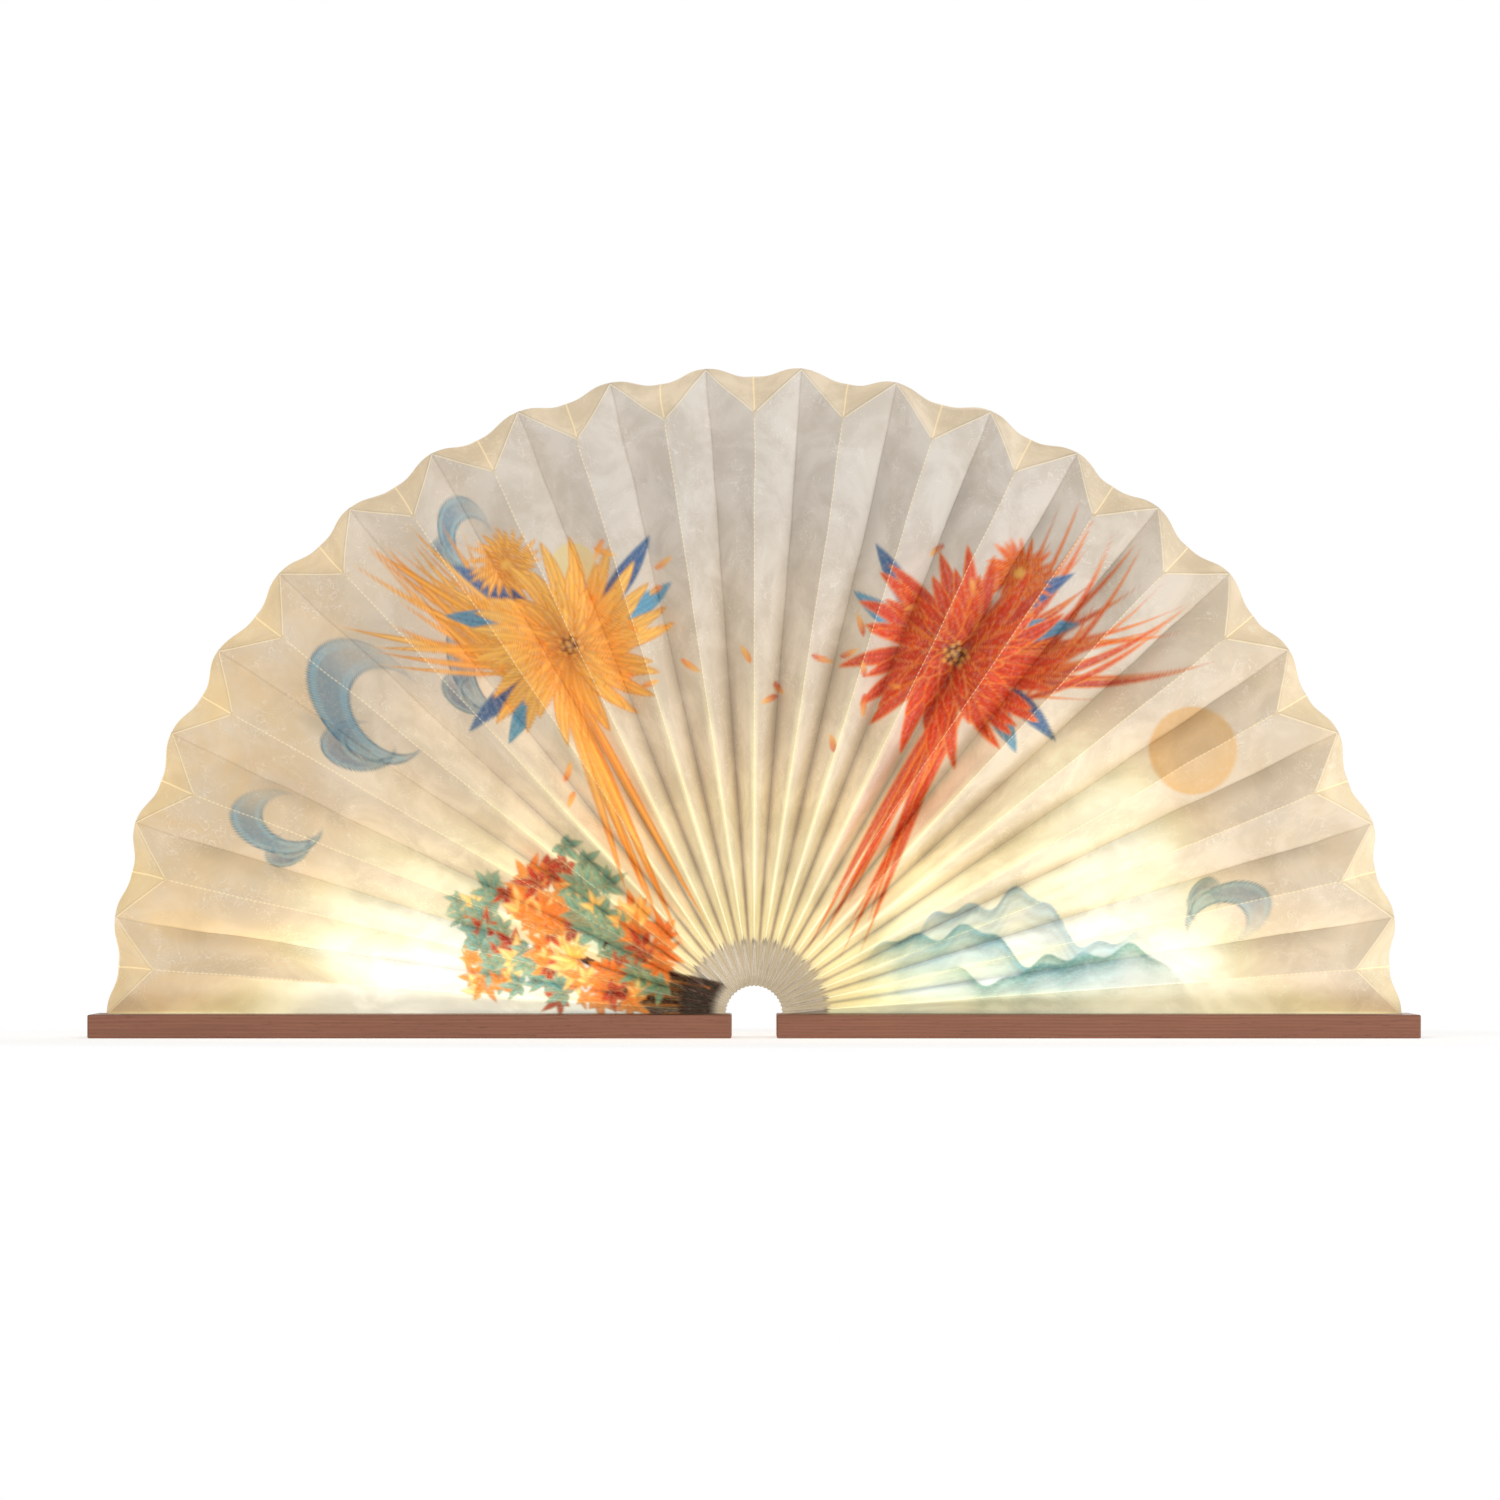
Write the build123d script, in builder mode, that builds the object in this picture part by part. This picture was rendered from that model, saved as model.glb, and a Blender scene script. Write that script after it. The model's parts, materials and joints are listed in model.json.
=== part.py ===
from build123d import *

import math
import os

os.makedirs("parts", exist_ok=True)

# A folding lamp like a book: two walnut covers joined by a pleated paper bellows.
# It lies open at half a turn, so the bellows stands up as a half disc.
# X runs to the right, Y away from the viewer, Z up. The origin is on the floor under
# the middle of the fan. Lengths are in millimetres and angles in degrees.

# Covers
cover_length = 299.5
cover_depth = 86.0
cover_thick = 11.0
cover_edge_round = 0.8
spine_gap = 21.0
panel_thick = 2.5
panel_margin = 5.0
panel_fit = 0.15
panel_corner = 3.0

# Bellows
pleat_count = 21
panel_width = 23.2
spine_radius = 13.0
spine_bulge = 0.6
paper_side_margin = 5.0
paper_end_margin = 8.0
rim_corner_step = 21.0
rim_dip = 4.5
rim_bulge = 1.5
rim_shoulder = 5.0
paper_thick = 0.4
spine_inset = 4.0
pleat_gap = 0.3
line_bows = (110.0, 200.0)
end_leaf_thick = 0.3
leaf_end_strip = 9.0
leaf_window_clearance = 0.6

# Light bars
bar_gap = 16.0
led_board_end_gap = 8.8
led_board_side_gap = 3.8
led_board_thick = 1.0
led_count = 12
led_end_margin = 3.25
led_length = 3.5
led_width = 2.8
led_height = 0.7
diffuser_length = 140.0
diffuser_side_gap = 3.8
diffuser_height = 7.0
diffuser_wall = 1.2
diffuser_tab_length = 14.0
diffuser_tab_width = 9.0
diffuser_tab_thick = 1.5
diffuser_top_round = 2.5
diffuser_screw_inset = 7.0

# Electronics in the left cover
board_radius = 157.0
board_length = 46.0
board_thick = 1.2
board_front = -6.5
board_wall = 2.0
board_clearance = 0.3
pocket_clearance = 1.0
rest_clearance = 0.1
socket_offset = -12.0
socket_width = 8.9
socket_height = 3.2
socket_depth = 7.35
socket_shell = 0.35
socket_tongue_width = 6.7
socket_tongue_thick = 0.7
socket_tongue_length = 5.2
socket_recess = 0.25
button_offset = 11.0
button_rise = 1.6
button_width = 8.0
button_height = 3.6
button_travel = 0.8
button_flange_width = 10.4
button_flange_height = 4.8
button_flange_thick = 0.9
button_stem = 1.4
button_recess = 0.2
button_fit = 0.2
button_top_round = 0.4
finger_dimple_width = 15.0
finger_dimple_height = 7.6
finger_dimple_depth = 0.8
switch_width = 6.0
switch_depth = 3.5
switch_height = 3.4
switch_plunger_radius = 0.9
switch_plunger_length = 1.0
battery_length = 70.0
battery_width = 34.0
battery_thick = 5.0
battery_round = 1.6
battery_gap = 14.0
battery_headroom = 0.8
lead_diameter = 1.2
lead_spacing = 5.0
plug_length = 6.0
plug_width = 9.0
plug_height = 3.6
plug_inset = 1.0
led_lead_diameter = 1.0
led_lead_spacing = 3.0
led_lead_shift = -7.0
led_lead_wall_gap = 1.8
led_lead_hole = 6.4
led_lead_bend = 2.0
led_lead_landing = 3.2

# Cable from cover to cover, through the bellows
cable_radius = 50.0
cable_width = 6.0
cable_thick = 0.8
cable_bend = 3.0
cable_overlap = 3.0
cable_rise_gap = 4.0
cable_slot_width = 7.0
cable_slot_length = 2.4
channel_width = 10.0

# Fasteners
panel_screw_inset = 13.0
panel_screw_edge = 6.0
panel_screw_head = 2.25
panel_screw_shaft = 1.1
panel_screw_length = 6.5
screw_clearance = 0.1
pan_head_radius = 2.0
pan_head_height = 1.2
pan_head_round = 0.5
pan_shaft_radius = 0.8
diffuser_screw_length = 3.2
board_screw_length = 2.6
board_screw_edge = 3.0
board_screw_side = 20.0
drive_radius = 0.9
drive_depth = 0.7

# Places worked out from the sizes above
half_turn = 180.0
half_step = half_turn / pleat_count / 2
ridge_spine_radius = spine_radius + panel_width
ridge_reach = cover_depth / 2 - paper_side_margin
valley_spine_reach = ridge_reach - panel_width
fold_centre = ridge_reach - panel_width / 2
valley_rim_radius = spine_gap / 2 + cover_length - paper_end_margin
ridge_vertex_radius = valley_rim_radius - rim_corner_step
ridge_rim_radius = valley_rim_radius - rim_dip
panel_length = cover_length - 2 * panel_margin
panel_depth = cover_depth - 2 * panel_margin
panel_bottom = cover_thick - panel_thick
panel_screw_side = panel_depth / 2 - panel_screw_edge
cover_floor = panel_bottom - battery_headroom - battery_thick - rest_clearance
inner_end = spine_gap / 2
rear_face = cover_depth / 2
led_board_top = cover_thick + led_board_thick
board_bottom = cover_floor + rest_clearance
board_top = board_bottom + board_thick
board_near = board_radius - board_length / 2
board_far = board_radius + board_length / 2
button_level = board_top + button_rise
socket_level = board_top + socket_height / 2
plug_level = board_top + plug_height / 2
plug_far = board_far - plug_inset
board_pocket_back = rear_face - board_wall
board_back = board_pocket_back - board_clearance
battery_near = board_far + battery_gap
battery_radius = battery_near + battery_length / 2
cable_level = board_top + rest_clearance + cable_thick / 2
bar_radius = cable_radius + bar_gap + diffuser_tab_length + diffuser_length / 2
diffuser_width = 2 * (valley_spine_reach - diffuser_side_gap)
led_board_length = diffuser_length - 2 * (diffuser_wall + led_board_end_gap)
led_board_width = diffuser_width - 2 * (diffuser_wall + led_board_side_gap)
led_pitch = (led_board_length - led_length - 2 * led_end_margin) / (led_count - 1)
led_board_near = bar_radius - led_board_length / 2
cable_rise_radius = led_board_near - cable_rise_gap
bar_screw_offset = diffuser_length / 2 + diffuser_screw_inset
led_lead_radius = board_radius + led_lead_shift
led_lead_offset = diffuser_width / 2 - diffuser_wall - led_lead_wall_gap
board_screw_spread = board_length / 2 - board_screw_edge
socket_radius = board_radius + socket_offset
button_radius = board_radius + button_offset
button_flange_back = board_pocket_back - button_fit
button_stem_end = button_flange_back - button_flange_thick - button_stem
switch_front = button_stem_end - rest_clearance - button_travel - switch_plunger_length
board_notch = board_back - (button_stem_end + button_stem - button_travel - board_clearance)


def chord(radius):
    """Half the width that one pleat spans at this distance from the spine."""
    return radius * math.tan(math.radians(half_step))


def fold_depth(radius):
    """How far a valley lies behind its ridges, for a paper strip of steady width."""
    return math.sqrt(max(panel_width ** 2 - chord(radius) ** 2, 0))


def wall_inset(radius):
    """The wall's width measured in a plane through the spine, capped beside the spine."""
    return min(paper_thick * panel_width / chord(radius), spine_inset)


def ridge_reach_at(radius):
    return fold_centre + fold_depth(radius) / 2


def valley_reach_at(radius):
    return fold_centre - fold_depth(radius) / 2


def mirrored(points):
    """The front half of a ring, then its back half in reverse order."""
    back = [(radius, -y) for radius, y in reversed(points) if y != 0]
    return points + back


def spine_floor(radius, reach):
    """The two points of a ring that close the bellows beside the spine."""
    return [(radius, reach), (radius, -reach)]


def ridge_ring(inset):
    """The paper's ring in the plane of a ridge, as points of radius and Y."""
    rim_reach = ridge_reach_at(ridge_vertex_radius)
    rim_step = ridge_rim_radius - ridge_vertex_radius
    corner_reach = rim_reach - math.sqrt(panel_width ** 2 - rim_step ** 2)
    start_inset = inset * wall_inset(ridge_spine_radius)
    rim_inset = inset * wall_inset(ridge_rim_radius)
    points = [(ridge_spine_radius + start_inset, -ridge_reach + start_inset)]
    for radius in line_bows:
        points.append((radius, -ridge_reach_at(radius) + inset * wall_inset(radius)))
    points.append((ridge_vertex_radius - rim_inset, -rim_reach + rim_inset))
    points.append((ridge_rim_radius - rim_inset, -corner_reach + rim_inset))
    points.append((ridge_rim_radius + rim_bulge - rim_inset, 0))
    floor_inset = inset * wall_inset(spine_radius)
    floor_radius = spine_radius + spine_bulge + floor_inset
    return mirrored(points) + spine_floor(floor_radius, valley_spine_reach - floor_inset)


def valley_ring(inset):
    """The paper's ring in the plane of a valley, as points of radius and Y."""
    rim_reach = valley_reach_at(valley_rim_radius)
    start_inset = inset * wall_inset(spine_radius)
    rim_inset = inset * wall_inset(valley_rim_radius)
    points = [(spine_radius + start_inset, -valley_spine_reach + start_inset)]
    for radius in line_bows:
        points.append((radius, -valley_reach_at(radius) + inset * wall_inset(radius)))
    points.append((valley_rim_radius - rim_inset, -rim_reach + rim_inset))
    points.append((valley_rim_radius + rim_bulge / 3 - rim_inset, -rim_reach + rim_shoulder))
    points.append((valley_rim_radius + rim_bulge - rim_inset, 0))
    floor_radius = spine_radius + spine_bulge / 3 + start_inset
    return mirrored(points) + spine_floor(floor_radius, (valley_spine_reach - start_inset) / 2)


def fan_plane(angle, shift=0.0):
    """The plane through the fan's axis at this angle, moved sideways by a shift."""
    turn = math.radians(angle)
    outward = (math.cos(turn), 0, math.sin(turn))
    onward = (-math.sin(turn), 0, math.cos(turn))
    return Plane(origin=(0, 0, cover_thick), x_dir=outward, z_dir=onward).offset(shift)


def place(side, radius, y=0.0, z=0.0):
    """A point on the left or right cover, by its distance from the fan's middle."""
    return (side * radius, y, z)


def panel_screw_points(side, z=0.0):
    ends = (inner_end + panel_screw_inset, inner_end + cover_length - panel_screw_inset)
    return [place(side, end, y, z) for end in ends for y in (-panel_screw_side, panel_screw_side)]


def bar_screw_points(side, z=0.0):
    return [place(side, bar_radius + end, 0, z) for end in (-bar_screw_offset, bar_screw_offset)]


def board_screw_points(z=0.0):
    ends = (board_radius - board_screw_spread, board_radius + board_screw_spread)
    return [place(-1, end, board_screw_side, z) for end in ends]


# How a piece hangs from, or stands on, the point that places it
hang = (Align.CENTER, Align.CENTER, Align.MAX)
stand = (Align.CENTER, Align.CENTER, Align.MIN)


# Covers: shallow walnut trays with pockets for what they hold
for side_name, side in (("left", -1), ("right", 1)):
    cover_middle = inner_end + cover_length / 2
    with BuildPart() as cover:
        with BuildSketch(Plane.XY):
            with Locations(place(side, cover_middle)):
                Rectangle(cover_length, cover_depth)
        extrude(amount=cover_thick)
        fillet(cover.edges(), radius=cover_edge_round)
        # Seat of the inner panel
        with BuildSketch(Plane.XY.offset(cover_thick)):
            with Locations(place(side, cover_middle)):
                RectangleRounded(
                    panel_length + 2 * panel_fit, panel_depth + 2 * panel_fit, panel_corner + panel_fit
                )
        extrude(amount=-panel_thick, mode=Mode.SUBTRACT)
        # Channel for the flat cable, from the spine end to the board or light bar
        channel_start = cable_radius - channel_width / 2
        channel_end = board_near if side < 0 else cable_rise_radius + channel_width / 2
        with BuildSketch(Plane.XY.offset(cover_floor)):
            with Locations(place(side, (channel_start + channel_end) / 2)):
                Rectangle(channel_end - channel_start, channel_width)
        extrude(amount=panel_bottom - cover_floor, mode=Mode.SUBTRACT)
        # Holes for the inner panel's screws
        with Locations(*panel_screw_points(side, panel_bottom)):
            Hole(
                radius=panel_screw_shaft + screw_clearance,
                depth=panel_screw_length - panel_thick + pocket_clearance,
            )
        if side < 0:
            # Pocket of the control board, thin-walled at the rear edge
            with BuildSketch(Plane.XY.offset(cover_floor)):
                pocket_front = board_front - pocket_clearance
                with Locations(place(side, board_radius, (pocket_front + board_pocket_back) / 2)):
                    Rectangle(board_length + 2 * pocket_clearance, board_pocket_back - pocket_front)
            extrude(amount=panel_bottom - cover_floor, mode=Mode.SUBTRACT)
            # Pocket of the battery, and the way for its leads
            with BuildSketch(Plane.XY.offset(cover_floor)):
                with Locations(place(side, battery_radius)):
                    Rectangle(battery_length + 2 * pocket_clearance, battery_width + 2 * pocket_clearance)
                with Locations(place(side, (board_far + battery_near) / 2)):
                    Rectangle(battery_near - board_far, channel_width)
            extrude(amount=panel_bottom - cover_floor, mode=Mode.SUBTRACT)
            # Rear edge: the socket's mouth, the button's way and its finger dimple
            with BuildSketch(Plane.XZ.offset(-rear_face)):
                with Locations((-button_radius, button_level)):
                    SlotOverall(finger_dimple_width, finger_dimple_height)
            extrude(amount=finger_dimple_depth, mode=Mode.SUBTRACT)
            with BuildSketch(Plane.XZ.offset(-rear_face)):
                with Locations((-button_radius, button_level)):
                    SlotOverall(button_width + 2 * button_fit, button_height + 2 * button_fit)
                with Locations((-socket_radius, socket_level)):
                    SlotOverall(socket_width + 2 * button_fit, socket_height + 2 * button_fit)
            extrude(amount=board_wall + button_fit, mode=Mode.SUBTRACT)
            # Pilot holes of the control board's screws
            with Locations(*board_screw_points(cover_floor)):
                Hole(
                    radius=pan_shaft_radius + screw_clearance,
                    depth=board_screw_length - board_thick + pocket_clearance / 4,
                )
    cover.part.label = f"cover_{side_name}"
    export_step(cover.part, f"parts/cover_{side_name}.step")

# Inner panels that close the trays, flush with the covers' inner faces
for side_name, side in (("left", -1), ("right", 1)):
    cover_middle = inner_end + cover_length / 2
    with BuildPart() as inner_panel:
        with BuildSketch(Plane.XY.offset(panel_bottom)):
            with Locations(place(side, cover_middle)):
                RectangleRounded(panel_length, panel_depth, panel_corner)
            with Locations(place(side, cable_radius)):
                Rectangle(cable_slot_length, cable_slot_width, mode=Mode.SUBTRACT)
            if side < 0:
                with Locations(place(side, led_lead_radius, led_lead_offset)):
                    SlotOverall(led_lead_hole, cable_slot_length, mode=Mode.SUBTRACT)
            else:
                with Locations(place(side, cable_rise_radius)):
                    Rectangle(cable_slot_length, cable_slot_width, mode=Mode.SUBTRACT)
        extrude(amount=panel_thick)
        # Countersunk seats of its screws
        with Locations(*panel_screw_points(side, cover_thick)):
            CounterSinkHole(
                radius=panel_screw_shaft + screw_clearance,
                counter_sink_radius=panel_screw_head + screw_clearance,
                counter_sink_angle=90,
            )
        # Pilot holes of the light bar's screws
        with Locations(*bar_screw_points(side, cover_thick)):
            Hole(radius=pan_shaft_radius + screw_clearance)
    inner_panel.part.label = f"inner_panel_{side_name}"
    export_step(inner_panel.part, f"parts/inner_panel_{side_name}.step")

# Countersunk screws of the inner panels, four to a cover
for side_name, side in (("left", -1), ("right", 1)):
    head_height = panel_screw_head - panel_screw_shaft
    with BuildPart() as panel_screws:
        with Locations(*panel_screw_points(side, cover_thick)):
            Cone(panel_screw_shaft, panel_screw_head, head_height, align=hang)
            Cylinder(panel_screw_shaft, panel_screw_length, align=hang)
        with BuildSketch(Plane.XY.offset(cover_thick)):
            with Locations(*panel_screw_points(side)):
                RegularPolygon(drive_radius, 6)
        extrude(amount=-drive_depth, mode=Mode.SUBTRACT)
    panel_screws.part.label = f"panel_screws_{side_name}"
    export_step(panel_screws.part, f"parts/panel_screws_{side_name}.step")

# Paper end leaves, glued to the inner panels round the light bars
for side_name, side in (("left", -1), ("right", 1)):
    window_start = spine_radius + leaf_end_strip
    window_end = valley_rim_radius - leaf_end_strip
    with BuildPart() as end_leaf:
        with BuildSketch(Plane.XY.offset(cover_thick)):
            with BuildLine():
                Polyline(*[place(side, radius, y) for radius, y in valley_ring(0)], close=True)
            make_face()
            with Locations(place(side, (window_start + window_end) / 2)):
                Rectangle(
                    window_end - window_start,
                    diffuser_width + 2 * leaf_window_clearance,
                    mode=Mode.SUBTRACT,
                )
        extrude(amount=end_leaf_thick)
    end_leaf.part.label = f"end_leaf_{side_name}"
    export_step(end_leaf.part, f"parts/end_leaf_{side_name}.step")

# Light bars: a circuit board, its row of light chips, and a frosted cover on two screws
for side_name, side in (("left", -1), ("right", 1)):
    with BuildPart() as led_board:
        with BuildSketch(Plane.XY.offset(cover_thick)):
            with Locations(place(side, bar_radius)):
                Rectangle(led_board_length, led_board_width)
        extrude(amount=led_board_thick)
    led_board.part.label = f"led_board_{side_name}"
    export_step(led_board.part, f"parts/led_board_{side_name}.step")

    with BuildPart() as led_chips:
        with BuildSketch(Plane.XY.offset(led_board_top)):
            with Locations(place(side, bar_radius)):
                with GridLocations(led_pitch, led_width, led_count, 1):
                    Rectangle(led_length, led_width)
        extrude(amount=led_height)
    led_chips.part.label = f"led_chips_{side_name}"
    export_step(led_chips.part, f"parts/led_chips_{side_name}.step")

    with BuildPart() as diffuser:
        with BuildSketch(Plane.XY.offset(cover_thick)):
            with Locations(place(side, bar_radius)):
                SlotOverall(diffuser_length, diffuser_width)
        extrude(amount=diffuser_height)
        fillet(diffuser.faces().sort_by(Axis.Z)[-1].edges(), radius=diffuser_top_round)
        with BuildSketch(Plane.XY.offset(cover_thick)):
            with Locations(place(side, bar_radius)):
                Rectangle(diffuser_length + 2 * diffuser_tab_length, diffuser_tab_width)
        extrude(amount=diffuser_tab_thick)
        with BuildSketch(Plane.XY.offset(cover_thick)):
            with Locations(place(side, bar_radius)):
                SlotOverall(diffuser_length - 2 * diffuser_wall, diffuser_width - 2 * diffuser_wall)
        extrude(amount=diffuser_height - diffuser_wall, mode=Mode.SUBTRACT)
        with Locations(*bar_screw_points(side, cover_thick + diffuser_tab_thick)):
            Hole(pan_shaft_radius + screw_clearance)
    diffuser.part.label = f"diffuser_{side_name}"
    export_step(diffuser.part, f"parts/diffuser_{side_name}.step")

    with BuildPart() as diffuser_screws:
        with Locations(*bar_screw_points(side, cover_thick + diffuser_tab_thick)):
            Cylinder(pan_head_radius, pan_head_height, align=stand)
            Cylinder(pan_shaft_radius, diffuser_screw_length, align=hang)
        fillet(diffuser_screws.faces().group_by(Axis.Z)[-1].edges(), radius=pan_head_round)
        with BuildSketch(Plane.XY.offset(cover_thick + diffuser_tab_thick + pan_head_height)):
            with Locations(*bar_screw_points(side)):
                RegularPolygon(drive_radius, 6)
        extrude(amount=-drive_depth, mode=Mode.SUBTRACT)
    diffuser_screws.part.label = f"diffuser_screws_{side_name}"
    export_step(diffuser_screws.part, f"parts/diffuser_screws_{side_name}.step")

# Control board in the left cover, notched behind the button's flange
with BuildPart() as control_board:
    with BuildSketch(Plane.XY.offset(board_bottom)):
        with Locations(place(-1, board_radius, (board_front + board_back) / 2)):
            Rectangle(board_length, board_back - board_front)
        with Locations(place(-1, button_radius, board_back)):
            Rectangle(button_flange_width + 2 * pocket_clearance, 2 * board_notch, mode=Mode.SUBTRACT)
        with Locations(*board_screw_points()):
            Circle(pan_shaft_radius + screw_clearance, mode=Mode.SUBTRACT)
    extrude(amount=board_thick)
control_board.part.label = "control_board"
export_step(control_board.part, "parts/control_board.step")

with BuildPart() as board_screws:
    with Locations(*board_screw_points(board_top)):
        Cylinder(pan_head_radius, pan_head_height, align=stand)
        Cylinder(pan_shaft_radius, board_screw_length, align=hang)
    with BuildSketch(Plane.XY.offset(board_top + pan_head_height)):
        with Locations(*board_screw_points()):
            RegularPolygon(drive_radius, 6)
    extrude(amount=-drive_depth, mode=Mode.SUBTRACT)
board_screws.part.label = "board_screws"
export_step(board_screws.part, "parts/board_screws.step")

# Charging socket: a rounded shell, closed at the back, with a tongue inside
with BuildPart() as charging_socket:
    with BuildSketch(Plane.XZ.offset(socket_recess - rear_face)):
        with Locations((-socket_radius, socket_level)):
            SlotOverall(socket_width, socket_height)
    extrude(amount=socket_depth)
    with BuildSketch(Plane.XZ.offset(socket_recess - rear_face)):
        with Locations((-socket_radius, socket_level)):
            SlotOverall(socket_width - 2 * socket_shell, socket_height - 2 * socket_shell)
    extrude(amount=socket_depth - 2 * socket_shell, mode=Mode.SUBTRACT)
    with BuildSketch(Plane.XZ.offset(socket_recess + socket_depth - socket_shell - rear_face)):
        with Locations((-socket_radius, socket_level)):
            Rectangle(socket_tongue_width, socket_tongue_thick)
    extrude(amount=-socket_tongue_length)
charging_socket.part.label = "charging_socket"
export_step(charging_socket.part, "parts/charging_socket.step")

# Side-push switch on the board, and the button that presses it through the rear edge
with BuildPart() as tact_switch:
    with BuildSketch(Plane.XY.offset(board_top)):
        with Locations(place(-1, button_radius, switch_front - switch_depth / 2)):
            Rectangle(switch_width, switch_depth)
    extrude(amount=switch_height)
    with BuildSketch(Plane.XZ.offset(-switch_front)):
        with Locations((-button_radius, button_level)):
            Circle(switch_plunger_radius)
    extrude(amount=-switch_plunger_length)
tact_switch.part.label = "tact_switch"
export_step(tact_switch.part, "parts/tact_switch.step")

with BuildPart() as power_button:
    with BuildSketch(Plane.XZ.offset(button_recess - rear_face)):
        with Locations((-button_radius, button_level)):
            SlotOverall(button_width, button_height)
    extrude(amount=rear_face - button_recess - button_flange_back)
    with BuildSketch(Plane.XZ.offset(-button_flange_back)):
        with Locations((-button_radius, button_level)):
            RectangleRounded(button_flange_width, button_flange_height, button_fit)
    extrude(amount=button_flange_thick)
    with BuildSketch(Plane.XZ.offset(button_flange_thick - button_flange_back)):
        with Locations((-button_radius, button_level)):
            Circle(switch_plunger_radius)
    extrude(amount=button_stem)
    fillet(power_button.faces().sort_by(Axis.Y)[-1].edges(), radius=button_top_round)
power_button.part.label = "power_button"
export_step(power_button.part, "parts/power_button.step")

# Battery, its plug on the board and its two leads
with BuildPart() as battery:
    with BuildSketch(Plane.XY.offset(board_bottom)):
        with Locations(place(-1, battery_radius)):
            Rectangle(battery_length, battery_width)
    extrude(amount=battery_thick)
    fillet(battery.edges(), radius=battery_round)
battery.part.label = "battery"
export_step(battery.part, "parts/battery.step")

with BuildPart() as battery_plug:
    with BuildSketch(Plane.XY.offset(board_top)):
        with Locations(place(-1, plug_far - plug_length / 2)):
            Rectangle(plug_length, plug_width)
    extrude(amount=plug_height)
battery_plug.part.label = "battery_plug"
export_step(battery_plug.part, "parts/battery_plug.step")

with BuildPart() as battery_leads:
    with BuildSketch(Plane.YZ.offset(-battery_near)):
        with Locations((-lead_spacing / 2, plug_level), (lead_spacing / 2, plug_level)):
            Circle(lead_diameter / 2)
    extrude(amount=battery_near - plug_far)
battery_leads.part.label = "battery_leads"
export_step(battery_leads.part, "parts/battery_leads.step")

# Leads that rise from the control board to the left light bar
with BuildPart() as led_leads:
    for offset in (-led_lead_spacing / 2, led_lead_spacing / 2):
        lead_radius = led_lead_radius + offset
        lead_rest = led_board_top + rest_clearance + led_lead_diameter / 2
        with BuildLine(Plane.YZ.offset(-lead_radius)) as lead_route:
            FilletPolyline(
                (led_lead_offset, board_top),
                (led_lead_offset, lead_rest),
                (led_lead_offset - led_lead_landing, lead_rest),
                radius=led_lead_bend,
            )
        with BuildSketch(Plane.XY.offset(board_top)):
            with Locations(place(-1, lead_radius, led_lead_offset)):
                Circle(led_lead_diameter / 2)
        sweep(path=lead_route.line)
led_leads.part.label = "led_leads"
export_step(led_leads.part, "parts/led_leads.step")

# Flat cable: along the left cover, in an arch through the bellows, and to the right light bar
with BuildPart() as link_cable:
    with BuildLine(Plane.XZ) as cable_route:
        FilletPolyline(
            (-board_near - cable_overlap, cable_level),
            (-cable_radius, cable_level),
            (-cable_radius, cover_thick),
            radius=cable_bend,
        )
        ThreePointArc(
            (-cable_radius, cover_thick), (0, cover_thick + cable_radius), (cable_radius, cover_thick)
        )
        FilletPolyline(
            (cable_radius, cover_thick),
            (cable_radius, cable_level),
            (cable_rise_radius, cable_level),
            (cable_rise_radius, led_board_top),
            radius=cable_bend,
        )
    with BuildSketch(Plane(cable_route.line @ 0, x_dir=(0, 1, 0), z_dir=(1, 0, 0))):
        Rectangle(cable_width, cable_thick)
    sweep(path=cable_route.line)
link_cable.part.label = "link_cable"
export_step(link_cable.part, "parts/link_cable.step")

# Bellows: one pleat from valley to valley, over its ridge, as a thin closed ring of paper
for number in range(1, pleat_count + 1):
    ridge_angle = half_turn - (2 * number - 1) * half_step
    start_shift = pleat_gap / 2 + (end_leaf_thick if number == pleat_count else 0)
    end_shift = pleat_gap / 2 + (end_leaf_thick if number == 1 else 0)
    with BuildPart() as pleat:
        for inset, mode in ((0, Mode.ADD), (1, Mode.SUBTRACT)):
            for plane, ring in (
                (fan_plane(ridge_angle - half_step, start_shift), valley_ring(inset)),
                (fan_plane(ridge_angle), ridge_ring(inset)),
                (fan_plane(ridge_angle + half_step, -end_shift), valley_ring(inset)),
            ):
                with BuildSketch(plane):
                    with BuildLine():
                        Polyline(*ring, close=True)
                    make_face()
            loft(ruled=True, mode=mode)
    pleat.part.label = f"pleat_{number:02d}"
    export_step(pleat.part, f"parts/pleat_{number:02d}.step")
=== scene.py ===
import json
import math

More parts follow.
